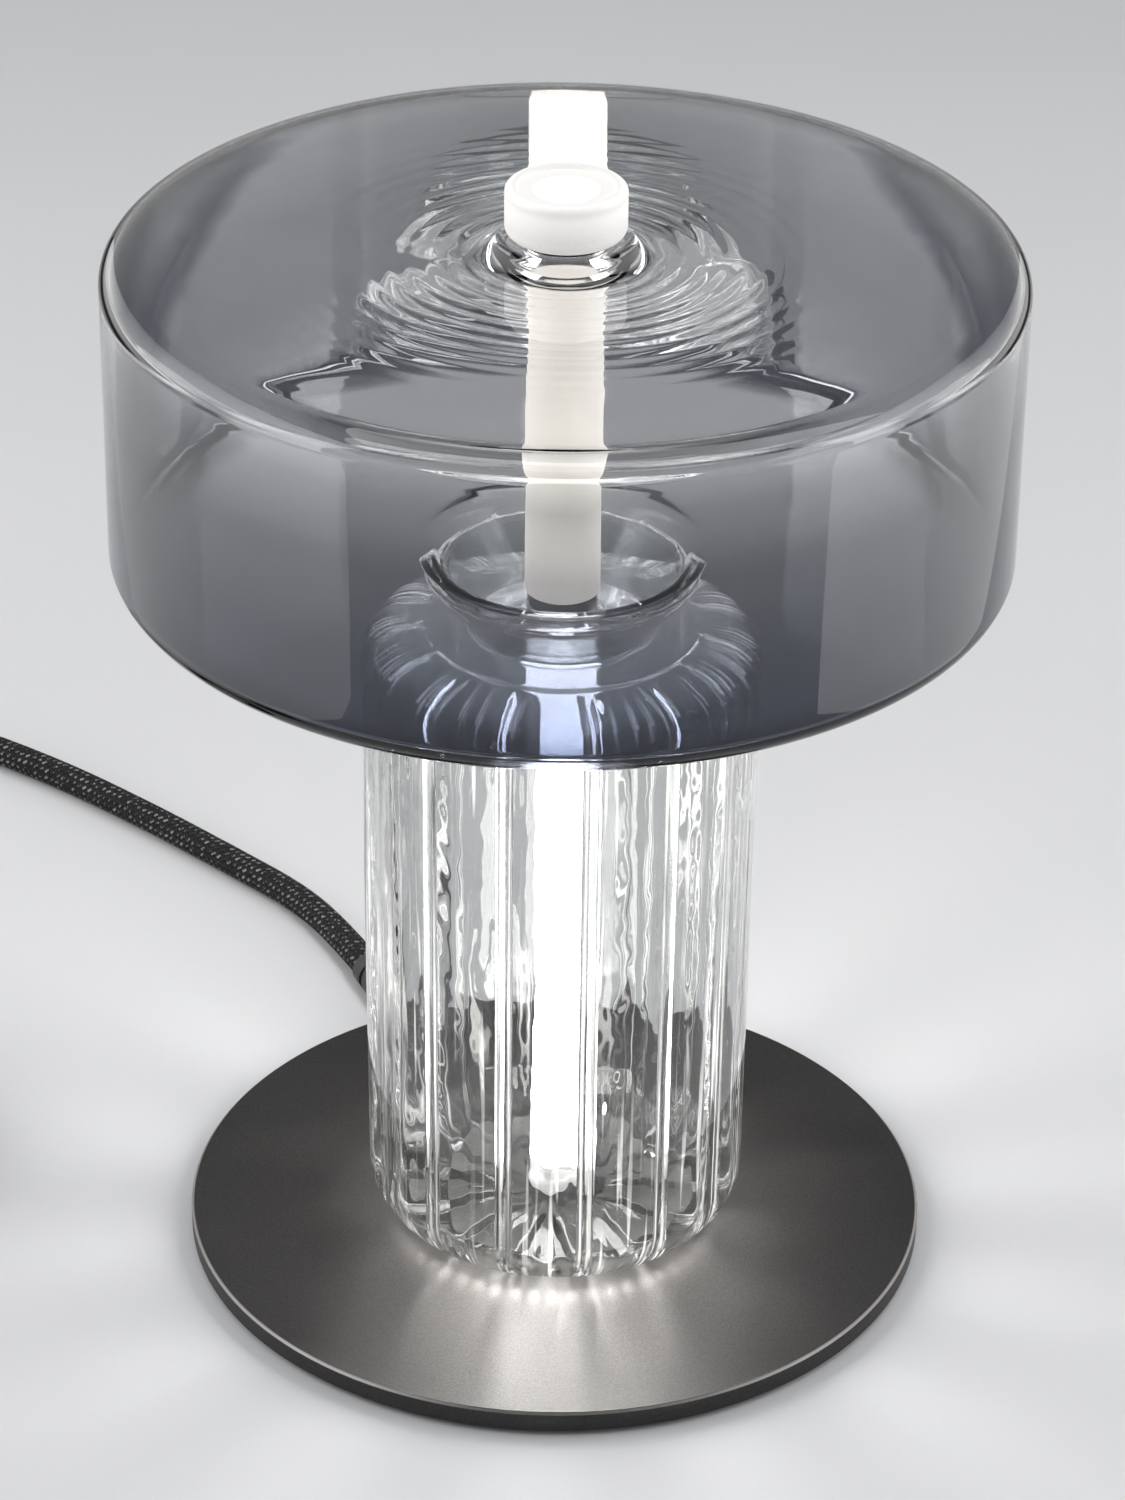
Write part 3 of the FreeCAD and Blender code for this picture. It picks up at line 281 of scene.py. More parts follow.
class Finish:
    """A material with one Principled shader and short calls for the nodes that drive it."""

    def __init__(self, name):
        self.material = bpy.data.materials.new(name)
        self.material.use_nodes = True
        self.tree = self.material.node_tree
        self.tree.nodes.clear()
        self.output = self.tree.nodes.new("ShaderNodeOutputMaterial")
        self.shader = self.tree.nodes.new("ShaderNodeBsdfPrincipled")
        self.join(self.shader.outputs[0], self.output.inputs["Surface"])
        self.place = self.tree.nodes.new("ShaderNodeTexCoord").outputs["Object"]

    def join(self, source, target):
        self.tree.links.new(source, target)

    def fixed(self, **values):
        """Numbers and colours that are the same all over, by socket name with _ for a space."""
        for name, value in values.items():
            self.shader.inputs[name.replace("_", " ")].default_value = value

    def drive(self, name, source):
        self.join(source, self.shader.inputs[name])

    def calc(self, operation, *values):
        node = self.tree.nodes.new("ShaderNodeMath")
        node.operation = operation
        for socket, value in zip(node.inputs, values):
            if isinstance(value, (int, float)):
                socket.default_value = value
            else:
                self.join(value, socket)
        return node.outputs[0]

    def product(self, first, *others):
        for other in others:
            first = self.calc("MULTIPLY", first, other)
        return first

    def parts(self, source=None):
        """X, Y and Z of a place, in metres."""
        node = self.tree.nodes.new("ShaderNodeSeparateXYZ")
        self.join(source or self.place, node.inputs[0])
        return node.outputs

    def scaled(self, x, y, z):
        node = self.tree.nodes.new("ShaderNodeVectorMath")
        node.operation = "MULTIPLY"
        self.join(self.place, node.inputs[0])
        node.inputs[1].default_value = (x, y, z)
        return node.outputs[0]

    def noise(self, size, detail=3.0, source=None, twist=0.0):
        """Soft noise whose lumps are about so many millimetres across."""
        node = self.tree.nodes.new("ShaderNodeTexNoise")
        node.inputs["Scale"].default_value = 1.0 / (size * MM)
        node.inputs["Detail"].default_value = detail
        node.inputs["Roughness"].default_value = noise_roughness
        node.inputs["Distortion"].default_value = twist
        self.join(source or self.place, node.inputs["Vector"])
        return node.outputs["Fac"]

    def ramp(self, source, *stops):
        node = self.tree.nodes.new("ShaderNodeValToRGB")
        self.join(source, node.inputs[0])
        strip = node.color_ramp
        while len(strip.elements) < len(stops):
            strip.elements.new(0.5)
        for element, (position, colour) in zip(strip.elements, stops):
            element.position = position
            element.color = (*colour, 1.0)
        return node.outputs[0]

    def spread(self, source, low, high, to_low=0.0, to_high=1.0):
        """Maps low..high onto to_low..to_high, clamped."""
        node = self.tree.nodes.new("ShaderNodeMapRange")
        self.join(source, node.inputs["Value"])
        ends = {"From Min": low, "From Max": high, "To Min": to_low, "To Max": to_high}
        for name, value in ends.items():
            node.inputs[name].default_value = value
        return node.outputs["Result"]

    def band(self, source, low, high, to_low=0.0, to_high=1.0):
        """Spreads a length, with low and high in millimetres."""
        return self.spread(source, low * MM, high * MM, to_low, to_high)

    def tint(self, socket, colour):
        """Sets a colour, or joins the one that another node gives."""
        if isinstance(colour, tuple):
            socket.default_value = (*colour, 1.0)
        else:
            self.join(colour, socket)

    def blend(self, share, first, second):
        """Two colours mixed, on the mix node's colour sockets: inputs 6 and 7, and output 2."""
        node = self.tree.nodes.new("ShaderNodeMix")
        node.data_type = "RGBA"
        self.join(share, node.inputs["Factor"])
        self.tint(node.inputs[6], first)
        self.tint(node.inputs[7], second)
        return node.outputs[2]

    def bump(self, height, depth, strength):
        """Bumps at most so many millimetres deep."""
        node = self.tree.nodes.new("ShaderNodeBump")
        node.inputs["Strength"].default_value = strength
        node.inputs["Distance"].default_value = depth * MM
        self.join(height, node.inputs["Height"])
        self.join(node.outputs[0], self.shader.inputs["Normal"])

    def axis_distance(self):
        """Distance from the lamp's axis, in metres."""
        x, y = self.parts()[:2]
        return self.calc("SQRT", self.calc("ADD", self.product(x, x), self.product(y, y)))

    def axis_angle(self):
        x, y = self.parts()[:2]
        return self.calc("ARCTAN2", y, x)

    def around(self, radius, drift):
        """A place that runs round the axis at one radius and drifts with height."""
        angle = self.axis_angle()
        node = self.tree.nodes.new("ShaderNodeCombineXYZ")
        self.join(self.product(self.calc("COSINE", angle), radius * MM), node.inputs[0])
        self.join(self.product(self.calc("SINE", angle), radius * MM), node.inputs[1])
        self.join(self.product(self.parts()[2], drift), node.inputs[2])
        return node.outputs[0]

    def diode_rows(self):
        """A wave along the lamp's axis that is 1 at each diode."""
        return self.calc("COSINE", self.product(self.parts()[2], 2 * math.pi / (diode_pitch * MM)))

    def frost(self, body, paler):
        """Finely frosted skin."""
        fine = self.noise(0.6)
        self.drive("Base Color", self.blend(self.spread(fine, *noise_range), body, paler))
        self.drive("Roughness", self.spread(fine, *noise_range, 0.38, 0.55))
        self.fixed(Specular_IOR_Level=0.35)
        self.bump(fine, 0.04, 0.5)

    def lets_lamps_through(self, colour):
        """Light from the lamps and off other surfaces passes this glass, tinted, on its way."""
        path = self.tree.nodes.new("ShaderNodeLightPath")
        either = self.calc("MAXIMUM", path.outputs["Is Shadow Ray"], path.outputs["Is Diffuse Ray"])
        clear = self.tree.nodes.new("ShaderNodeBsdfTransparent")
        self.tint(clear.inputs[0], colour)
        mix = self.tree.nodes.new("ShaderNodeMixShader")
        self.join(either, mix.inputs[0])
        self.join(self.shader.outputs[0], mix.inputs[1])
        self.join(clear.outputs[0], mix.inputs[2])
        self.join(mix.outputs[0], self.output.inputs["Surface"])


# Finishes
def powder_coat(name, dark, light, roughness, metallic):
    """Satin coat with a fine orange-peel texture, and a thin painted highlight along the chamfer."""
    f = Finish(name)
    tone = f.blend(f.spread(f.noise(0.45, 4.0), *cloud_range), dark, light)
    # Painted highlight: a thin lighter line in the coat's colour along the top edge's chamfer.
    edge = f.band(f.axis_distance(), base_radius - 0.75, base_radius - 0.35)
    upper = f.band(f.parts()[2], base_top - 0.7, base_top - 0.5)
    f.drive("Base Color", f.blend(f.product(edge, upper), tone, (0.26, 0.25, 0.24)))
    cloud = f.noise(38.0, 2.0)
    f.drive("Roughness", f.spread(cloud, *noise_range, roughness - 0.05, roughness + 0.06))
    f.fixed(Metallic=metallic, Specular_IOR_Level=0.3)
    f.bump(f.noise(0.7), 0.06, 0.55)
    return f.material


def metal(name, colour, roughness, glow=0.0):
    """Machined metal with fine streaks across its height, and glow as painted light, emission on metal that
    is no lamp.
    """
    wear = 0.12
    f = Finish(name)
    grain = f.noise(1.2, 4.0, f.scaled(1.0, 1.0, 18.0))
    light = tuple(min(1.0, c * (1 + wear)) for c in colour)
    dark = tuple(c * (1 - wear) for c in colour)
    f.drive("Base Color", f.blend(f.spread(grain, *noise_range), dark, light))
    f.drive("Roughness", f.spread(grain, *noise_range, roughness, roughness + 0.14))
    # glow paints light on the metal as emission
    f.fixed(Metallic=1.0, Emission_Color=(*metal_glow_colour, 1.0), Emission_Strength=glow)
    f.bump(grain, 0.02, 0.4)
    return f.material


def moulded(name, colour, roughness, grain_size=0.35, grain_depth=0.03):
    """Moulded plastic or rubber with a fine spark-eroded grain."""
    f = Finish(name)
    grain = f.noise(grain_size)
    cloud = f.noise(14.0, 2.0)
    light = tuple(min(1.0, c * 1.25 + 0.004) for c in colour)
    f.drive("Base Color", f.blend(f.spread(cloud, *cloud_range), colour, light))
    f.drive("Roughness", f.spread(grain, *noise_range, roughness - 0.06, roughness + 0.08))
    f.bump(grain, grain_depth, 0.6)
    return f.material


def clear_glass():
    """Clear hand-blown glass. Its ribs and fine lines carry painted highlights as emission, and throw
    streaks on the base.
    """
    f = Finish("clear_glass")
    f.drive("Base Color", f.blend(f.noise(30.0, 2.0), (0.76, 0.775, 0.775), (0.81, 0.815, 0.81)))
    f.fixed(Roughness=0.0, IOR=1.5, Transmission_Weight=1.0, Emission_Color=(1.0, 0.975, 0.94, 1.0))
    f.bump(f.noise(8.0, 1.0, f.scaled(1.0, 1.0, 0.55), twist=0.8), 0.12, 0.3)
    from_rib = f.calc("SUBTRACT", f.axis_angle(), math.radians(rib_turn))
    wave = f.calc("COSINE", f.product(from_rib, rib_count))
    z = f.parts()[2]
    away = f.axis_distance()

    # Painted highlights, as emission, in lines along the inner side of the wall and over the shoulder
    inner = f.band(away, vase_top_radius - 2.3, vase_top_radius - 2.0, 1.0, 0.0)
    wall = f.band(away, foot_flat_radius, vase_foot_radius - 4.0)
    rib_lines = f.product(f.spread(wave, *rib_line_rise), f.spread(wave, *rib_line_fall, 1.0, 0.0))
    threads = f.noise(fine_line_width, 1.0, f.around(vase_foot_radius, fine_line_drift))
    fine_lines = f.spread(threads, *fine_line_range, 0.0, fine_line_light)
    lines = f.calc("MAXIMUM", rib_lines, fine_lines)
    broken = f.spread(f.noise(14.0, 2.0, f.scaled(1.0, 1.0, 0.25)), 0.42, 0.58, 0.1, 1.0)
    on_shoulder = f.band(z, shoulder_start, shoulder_start + 3.0)
    broken = f.calc("MAXIMUM", broken, f.product(on_shoulder, shoulder_light))
    glow = f.product(f.product(lines, broken), f.product(inner, wall), rib_light)
    # Painted glow, as emission, under the shoulder's roof
    under_top = f.band(z, shoulder_top - 6.0, shoulder_top - 2.0)
    below_mouth = f.band(z, shoulder_top + 0.2, shoulder_top + 1.2, 1.0, 0.0)
    f.drive("Emission Strength", f.calc("ADD", glow, f.product(under_top, below_mouth, roof_light)))

    # Streaks that the lamps throw through the glass
    streak = f.spread(wave, -1.0, 1.0, 1.0, 0.72)
    fine = f.spread(f.noise(0.5, 2.0, f.scaled(1.0, 1.0, 0.0)), 0.4, 0.6, 0.8, 1.0)
    out = f.band(f.axis_distance(), 0.62 * vase_foot_radius, 0.95 * vase_foot_radius, 0.4, 1.0)
    f.lets_lamps_through(f.ramp(f.product(streak, fine, out), (0.0, grey(0.0)), (1.0, grey(1.0))))
    return f.material


def smoke_glass():
    """Smoke glass, dark at the foot of its wall and nearly clear on top, with a half-mirror inside."""
    f = Finish("smoke_glass")
    z = f.parts()[2]
    wall = f.ramp(
        f.band(z, drum_cone_end + 20.0, drum_lip_top),
        (0.0, (0.045, 0.055, 0.092)),
        (0.10, (0.065, 0.076, 0.110)),
        (0.32, (0.100, 0.110, 0.137)),
        (0.60, (0.20, 0.208, 0.228)),
        (0.80, (0.46, 0.47, 0.485)),
        (0.95, (0.90, 0.905, 0.91)),
    )
    away = f.axis_distance()
    out = f.band(away, 0.86 * drum_radius, 0.97 * drum_radius)
    plate = f.blend(f.band(z, drum_top - 20.0, drum_top - 10.0), (0.70, 0.71, 0.73), (0.94, 0.945, 0.95))
    above_neck = f.band(z, drum_bottom - 4.0, drum_bottom - 0.5)
    inside = f.band(away, drum_radius - 2.4, drum_radius - 1.4, 1.0, 0.0)
    behind = f.band(f.parts()[1], -30.0, 20.0)
    f.drive("Coat Weight", f.product(f.product(out, above_neck), f.product(inside, behind)))
    f.drive("Base Color", f.blend(above_neck, (0.93, 0.94, 0.95), f.blend(out, plate, wall)))
    f.fixed(Roughness=0.0, IOR=1.5, Transmission_Weight=1.0, Coat_Roughness=0.0, Coat_IOR=5.0)
    f.bump(f.noise(30.0, 1.0, f.scaled(1.0, 1.0, 0.35), twist=0.5), 0.5, 0.3)
    f.lets_lamps_through((0.80, 0.81, 0.83))
    return f.material


def silicone():
    """Clear silicone of the rings between the glass pieces."""
    f = Finish("clear_silicone")
    cloud = f.noise(2.5)
    f.drive("Base Color", f.blend(cloud, (0.86, 0.88, 0.88), (0.96, 0.97, 0.97)))
    f.fixed(Roughness=0.05, IOR=1.41, Transmission_Weight=1.0)
    f.bump(cloud, 0.05, 0.4)
    f.lets_lamps_through((0.8, 0.82, 0.82))
    return f.material


def pale_silicone():
    """Milky silicone of the gasket that lies under the vase and catches its light."""
    f = Finish("gasket_silicone")
    cloud = f.noise(6.0)
    f.drive("Base Color", f.blend(cloud, (0.16, 0.163, 0.163), (0.26, 0.262, 0.26)))
    f.fixed(Roughness=0.5, IOR=1.41)
    f.bump(cloud, 0.05, 0.4)
    return f.material


def frosted_light(name, glow, low, high, tone, body, spots=0.0, ring_zone=0.0, rear=1.0):
    """Frosted tube lit from inside. glow is stops of strength from low to high, spots adds the diodes'
    own light, ring_zone is the height above low where the light fades so that the rings show, and rear
    is how much stronger the light is at the back."""
    f = Finish(name)
    z = f.parts()[2]
    top = max(value for share, value in glow)
    strength = f.ramp(f.band(z, low, high), *[(share, grey(value / top)) for share, value in glow])
    cloud = f.noise(9.0, 3.0, f.scaled(1.0, 1.0, 0.5))
    strength = f.product(strength, f.spread(cloud, *noise_range, 0.94 * top, 1.06 * top))
    if spots:
        side = f.calc("ABSOLUTE", f.calc("SINE", f.product(f.axis_angle(), 2.0)))
        dots = f.product(f.spread(side, 0.55, 1.0), f.spread(f.diode_rows(), -0.2, 1.0))
        strength = f.calc("ADD", strength, f.product(dots, spots))
    if rear != 1.0:
        behind = f.spread(f.calc("SINE", f.axis_angle()), 0.1, 0.5, 1.0, rear)
        strength = f.product(strength, behind)
    if ring_zone:
        strength = f.product(strength, f.band(z, low + ring_zone - 5.0, low + ring_zone, 0.02, 1.0))
    f.drive("Emission Strength", strength)
    f.fixed(Emission_Color=(*tone, 1.0))
    f.frost(body, tuple(min(1.0, c * 1.1) for c in body))
    return f.material


def frosted_cap():
    """Frosted cap lit from below: bright in its dish and at its foot, duller along the rim."""
    f = Finish("cap_light")
    z = f.parts()[2]
    side = f.ramp(
        f.band(z, cap_bottom, cap_top),
        (0.0, grey(0.45)),
        (0.3, grey(0.50)),
        (0.7, grey(0.66)),
        (0.92, grey(0.56)),
    )
    top = f.ramp(
        f.band(f.axis_distance(), 0.0, cap_radius),
        (0.0, grey(0.60)),
        (0.5, grey(0.58)),
        (0.58, grey(0.48)),
        (0.76, grey(0.52)),
        (0.84, grey(0.42)),
        (0.9, grey(0.54)),
    )
    f.drive("Emission Strength", f.blend(f.band(z, cap_top - 2.6, cap_top - 1.2), side, top))
    f.fixed(Emission_Color=(*lamp_colour, 1.0))
    f.frost((0.40, 0.40, 0.395), (0.45, 0.45, 0.445))
    return f.material


def crown_metal():
    """Grey turned metal, polished dark above, with painted light, as emission, in the slots along its lower
    edge.
    """
    f = Finish("crown_metal")
    z = f.parts()[2]
    grain = f.noise(1.0, 3.0, f.scaled(1.0, 1.0, 14.0))
    top = f.band(z, crown_top - 3.4, crown_top - 3.0)
    turned_grey = f.blend(f.spread(grain, *noise_range), (0.33, 0.335, 0.34), (0.45, 0.455, 0.46))
    f.drive("Base Color", f.blend(top, turned_grey, (0.13, 0.13, 0.135)))
    f.drive("Roughness", f.spread(top, 0.0, 1.0, 0.4, 0.18))
    # Painted light in the slots: emission in the metal's recesses near its lower end
    deep = f.band(f.axis_distance(), crown_radius - 1.2, crown_radius - 0.9, 1.0, 0.0)
    low = f.band(z, lower_tube_top + 1.7, lower_tube_top + 1.8, 1.0, 0.0)
    f.drive("Emission Strength", f.product(deep, low, 2.6))
    f.fixed(Metallic=0.9, Emission_Color=(*metal_glow_colour, 1.0))
    f.bump(grain, 0.02, 0.4)
    return f.material


def braid():
    """Two sets of threads wound opposite ways, over and under each other, one dark and one pale grey, with
    painted shade where the threads dip.
    The tube's own coordinates give turns round the cord and metres along it."""
    f = Finish("cord_braid")
    across, along = f.parts(f.tree.nodes.new("ShaderNodeTexCoord").outputs["UV"])[:2]
    round_count = f.product(across, float(braid_strands))
    run_count = f.calc("DIVIDE", along, braid_pitch * MM)
    first = f.calc("ADD", round_count, run_count)
    second = f.calc("SUBTRACT", round_count, run_count)
    over = f.calc("PINGPONG", f.calc("ADD", f.calc("FLOOR", first), f.calc("FLOOR", second)), 1.0)
    first_top = f.calc("SINE", f.product(f.calc("FRACT", first), math.pi))
    second_top = f.calc("SINE", f.product(f.calc("FRACT", second), math.pi))
    second_height = f.product(f.calc("SUBTRACT", 1.0, over), second_top)
    height = f.calc("ADD", f.product(over, first_top), second_height)
    fleck = f.spread(f.noise(1.5, 1.0), 0.46, 0.60)
    pale = f.product(over, f.spread(first_top, 0.55, 0.85), fleck)
    # Painted shade: the dark threads are darker where they dip into the hollows between them.
    dark = f.blend(f.spread(height, 0.1, 0.9), (0.003, 0.003, 0.0033), (0.012, 0.012, 0.0125))
    f.drive("Base Color", f.blend(pale, dark, (0.22, 0.215, 0.21)))
    f.fixed(Roughness=0.75, Specular_IOR_Level=0.2)
    f.bump(f.calc("ADD", height, f.product(f.noise(0.22, 2.0), 0.25)), 0.45, 0.8)
    return f.material


def diode_strip():
    """White strip with a row of yellow diodes, and a faint painted glow on the strip between them."""
    f = Finish("diode_strip")
    row = f.spread(f.diode_rows(), 0.1, 0.2)
    f.drive("Base Color", f.blend(row, (0.85, 0.85, 0.83), (0.8, 0.62, 0.16)))
    # The strip between the diodes glows faintly: painted light.
    f.drive("Emission Strength", f.spread(row, 0.0, 1.0, 0.2, 2.0))
    f.fixed(Emission_Color=(1.0, 0.96, 0.88, 1.0), Roughness=0.4)
    return f.material


def circuit_board():
    """Green board with rows of copper tracks."""
    track_pitch = 1.6
    f = Finish("board")
    tracks = f.calc("PINGPONG", f.calc("DIVIDE", f.parts()[0], track_pitch * MM), 1.0)
    copper = f.spread(tracks, 0.72, 0.8)
    f.drive("Base Color", f.blend(copper, (0.02, 0.11, 0.05), (0.05, 0.22, 0.1)))
    f.fixed(Roughness=0.42)
    f.bump(copper, 0.05, 0.5)
    return f.material


def floor_finish():
    """Pale matt table."""
    f = Finish("floor")
    f.drive("Base Color", f.blend(f.noise(160.0), (0.565, 0.565, 0.57), (0.595, 0.595, 0.60)))
    f.fixed(Roughness=0.75, Specular_IOR_Level=0.25)
    f.bump(f.noise(1.6), 0.05, 0.3)
    return f.material


finishes = {
    "base_coat": powder_coat("base_coat", (0.044, 0.0425, 0.042), (0.070, 0.068, 0.067), 0.46, 0.88),
    "cover_coat": powder_coat("cover_coat", (0.10, 0.10, 0.098), (0.14, 0.14, 0.137), 0.5, 0.2),
    "steel": metal("steel", (0.56, 0.56, 0.57), 0.28),
    "foot_rubber": moulded("foot_rubber", (0.018, 0.018, 0.018), 0.7),
    "cord_rubber": moulded("cord_rubber", (0.02, 0.02, 0.021), 0.55),
    "clear_silicone": silicone(),
    "clear_glass": clear_glass(),
    "smoke_glass": smoke_glass(),
    "crown_metal": crown_metal(),
    "core_metal": metal("core_metal", (0.72, 0.72, 0.73), 0.3),
    "diode_strip": diode_strip(),
    "white_plastic": moulded("white_plastic", (0.72, 0.72, 0.71), 0.45),
    "brass": metal("brass", (0.72, 0.52, 0.22), 0.25),
    "cord_braid": braid(),
    "wire_sleeve": moulded("wire_sleeve", (0.35, 0.02, 0.015), 0.4),
    "dark_plastic": moulded("dark_plastic", (0.022, 0.022, 0.023), 0.48),
    "rocker_plastic": moulded("rocker_plastic", (0.03, 0.03, 0.032), 0.26, 0.6, 0.01),
    "board": circuit_board(),
    "pin_metal": metal("pin_metal", (0.7, 0.69, 0.66), 0.16),
}

# Finishes of single nodes, in place of their slot's
own_finishes = {
    "lower_tube": frosted_light(
        "lower_light",
        [(0.0, 34.0), (0.45, 30.0), (0.62, 38.0), (0.9, 34.0), (0.97, 28.0), (1.0, 14.0)],
        lower_tube_bottom,
        lower_tube_top,
        (1.0, 0.985, 0.965),
        (0.6, 0.6, 0.6),
        spots=20.0,
        ring_zone=12.0,
    ),
    "upper_tube": frosted_light(
        "upper_light",
        [(0.0, 2.0), (0.12, 1.6), (0.26, 0.8), (0.5, 0.85), (0.8, 0.68), (1.0, 0.75)],
        crown_top,
        upper_tube_top,
        (1.0, 0.93, 0.83),
        (0.50, 0.49, 0.47),
        rear=4.0,
    ),
    "cap": frosted_cap(),
    "vase_gasket": pale_silicone(),
    # The foot collar glows with painted light, as emission.
    "foot_collar": metal("collar_painted_glow", (0.72, 0.72, 0.73), 0.3, glow=0.55),
}


def dress(node, material):
    """Gives a CAD node its finish."""
    held = frame["nodes"][node]
    if not held.material_slots:
        held.data.materials.append(material)
    for place in held.material_slots:
        place.material = material


for part in frame["record"]["subparts"]:
    if part["material_slot"] in finishes:
        dress(part["node"], finishes[part["material_slot"]])
for node, material in own_finishes.items():
    dress(node, material)


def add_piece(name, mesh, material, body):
    piece = add_object(name, mesh)
    piece.data.materials.append(material)
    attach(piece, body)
    return piece


# Turned glass
class Outline:
    """A closed outline in radius and height, run counter-clockwise round the glass."""

    def __init__(self, radius, height):
        self.points = [(radius, height)]

    def line(self, radius, height, step):
        """A straight stretch, with points about a step apart."""
        start = self.points[-1]
        count = max(1, round(math.dist(start, (radius, height)) / step))
        for number in range(1, count + 1):
            share = number / count
            self.points.append(
                (start[0] + (radius - start[0]) * share, start[1] + (height - start[1]) * share)
            )

    def bend(self, apex_radius, apex_height, radius, height, count):
        """A round that leaves towards the apex and arrives from it, circular in an even square corner."""
        start = self.points[-1]
        for number in range(1, count + 1):
            t = number / count
            weights = ((1 - t) ** 2, 2 * t * (1 - t) * math.sqrt(0.5), t * t)
            whole = sum(weights)
            self.points.append(
                tuple(
                    (weights[0] * a + weights[1] * b + weights[2] * c) / whole
                    for a, b, c in zip(start, (apex_radius, apex_height), (radius, height))
                )
            )


def turned(name, outline, angles, swell):
    """Turns an outline about the lamp's axis, with a column of points at each angle. swell moves the
    surface outwards from the glass."""
    points = outline.points
    if math.dist(points[0], points[-1]) < 1e-6:
        points = points[:-1]
    normals = []
    for before, after in zip(points[-1:] + points[:-1], points[1:] + points[:1]):
        run = (after[0] - before[0], after[1] - before[1])
        length = math.hypot(*run) or 1.0
        normals.append((run[1] / length, -run[0] / length))
    shape = bmesh.new()
    rings = []
    for angle in angles:
        ring = []
        for (radius, height), (out, up) in zip(points, normals):
            grow = swell(radius, height, angle, out, up)
            r = (radius + out * grow) * MM
            z = (height + up * grow) * MM
            ring.append(shape.verts.new((r * math.cos(angle), r * math.sin(angle), z)))
        rings.append(ring)
    for ring, following in zip(rings, rings[1:] + rings[:1]):
        for number in range(len(points)):
            after = (number + 1) % len(points)
            face = shape.faces.new((ring[number], following[number], following[after], ring[after]))
            face.smooth = True
    return as_mesh(name, shape)


def around_noise(angle, height, lumps, drift, seed=0.0):
    """Noise with so many lumps in a radian round the axis, drifting with height."""
    place = Vector((math.cos(angle) * lumps + seed, math.sin(angle) * lumps, height * drift))
    return noise.noise(place)


def uneven(angle, height, depth, lumps, drift, seed):
    return depth * around_noise(angle, height, lumps, drift, seed)


# The drum's cone, and the vase's mouth that runs along it
cone_root_height = drum_bottom - cone_root_drop
cone_tip_height = drum_bottom - cone_tip_drop
cone_run = cone_root_radius - cone_tip_radius
cone_rise = cone_root_height - cone_tip_height
cone_length = math.hypot(cone_run, cone_rise)


def on_cone(share, depth):
    """A point on the drum's cone, from its tip at 0 to its root at 1, a depth outside its glass."""
    return (
        cone_tip_radius + cone_run * share + depth * cone_rise / cone_length,
        cone_tip_height + cone_rise * share - depth * cone_run / cone_length,
    )


def cone_share(height, depth):
    """How far along the cone a height lies, a depth outside the drum's glass."""
    return (height - cone_tip_height + depth * cone_run / cone_length) / cone_rise


# Vase
def vase_outline():
    """Out along the foot, up the wall, over the shoulder, up the mouth, and back down inside."""
    floor_top = vase_bottom + vase_floor
    foot_top = vase_bottom + vase_foot_corner
    inner_foot = vase_foot_radius - vase_wall
    inner_top = vase_top_radius - vase_wall
    shoulder_inner = vase_top_radius - vase_shoulder_depth
    under = shoulder_top - vase_wall
    crease_foot = shoulder_top - vase_crease_drop
    mouth_side = mouth_gap + vase_lip_wall
    mouth_end = vase_lip_share + vase_lip_round_share
    throat = on_cone(0.0, mouth_gap)
    hole = vase_hole_radius
    hole_edge = vase_hole_radius + vase_hole_edge_width

    outline = Outline(hole_edge, vase_bottom)
    outline.line(foot_flat_radius, vase_bottom, step=4.0)
    outline.bend(vase_foot_radius, vase_bottom, vase_foot_radius, foot_top, count=14)
    outline.line(vase_top_radius, shoulder_start, step=3.0)
    outline.bend(vase_top_radius, crease_foot, vase_flat_radius + vase_crease_run, crease_foot, count=20)
    outline.line(vase_flat_radius, shoulder_top, step=0.3)
    outline.line(shoulder_inner + vase_shoulder_flat, shoulder_top, step=1.5)
    outline.bend(shoulder_inner, shoulder_top, *on_cone(vase_throat_share, mouth_side), count=8)
    outline.line(*on_cone(vase_lip_share - vase_lip_slant_share, mouth_side), step=2.0)
    lip_middle = on_cone(mouth_end, mouth_gap + vase_lip_wall / 2)
    outline.bend(*on_cone(mouth_end, mouth_side), *lip_middle, count=6)
    outline.bend(*on_cone(mouth_end, mouth_gap), *on_cone(vase_lip_share, mouth_gap), count=6)
    outline.line(*throat, step=2.0)
    outline.bend(throat[0] - vase_throat_round, under, shoulder_inner - vase_throat_flat, under, count=8)
    outline.line(vase_flat_radius - vase_flat_inset, under, step=1.0)
    outline.bend(inner_top, under, inner_top, shoulder_start, count=24)
    outline.line(inner_foot, foot_top, step=1.3)
    outline.bend(inner_foot, floor_top, foot_flat_radius, floor_top, count=18)
    outline.line(hole_edge, floor_top, step=1.2)
    outline.bend(hole, floor_top, hole, floor_top - vase_hole_edge_height, count=3)
    outline.line(hole, vase_bottom + vase_hole_edge_height, step=1.0)
    outline.bend(hole, vase_bottom, hole_edge, vase_bottom, count=3)
    return outline


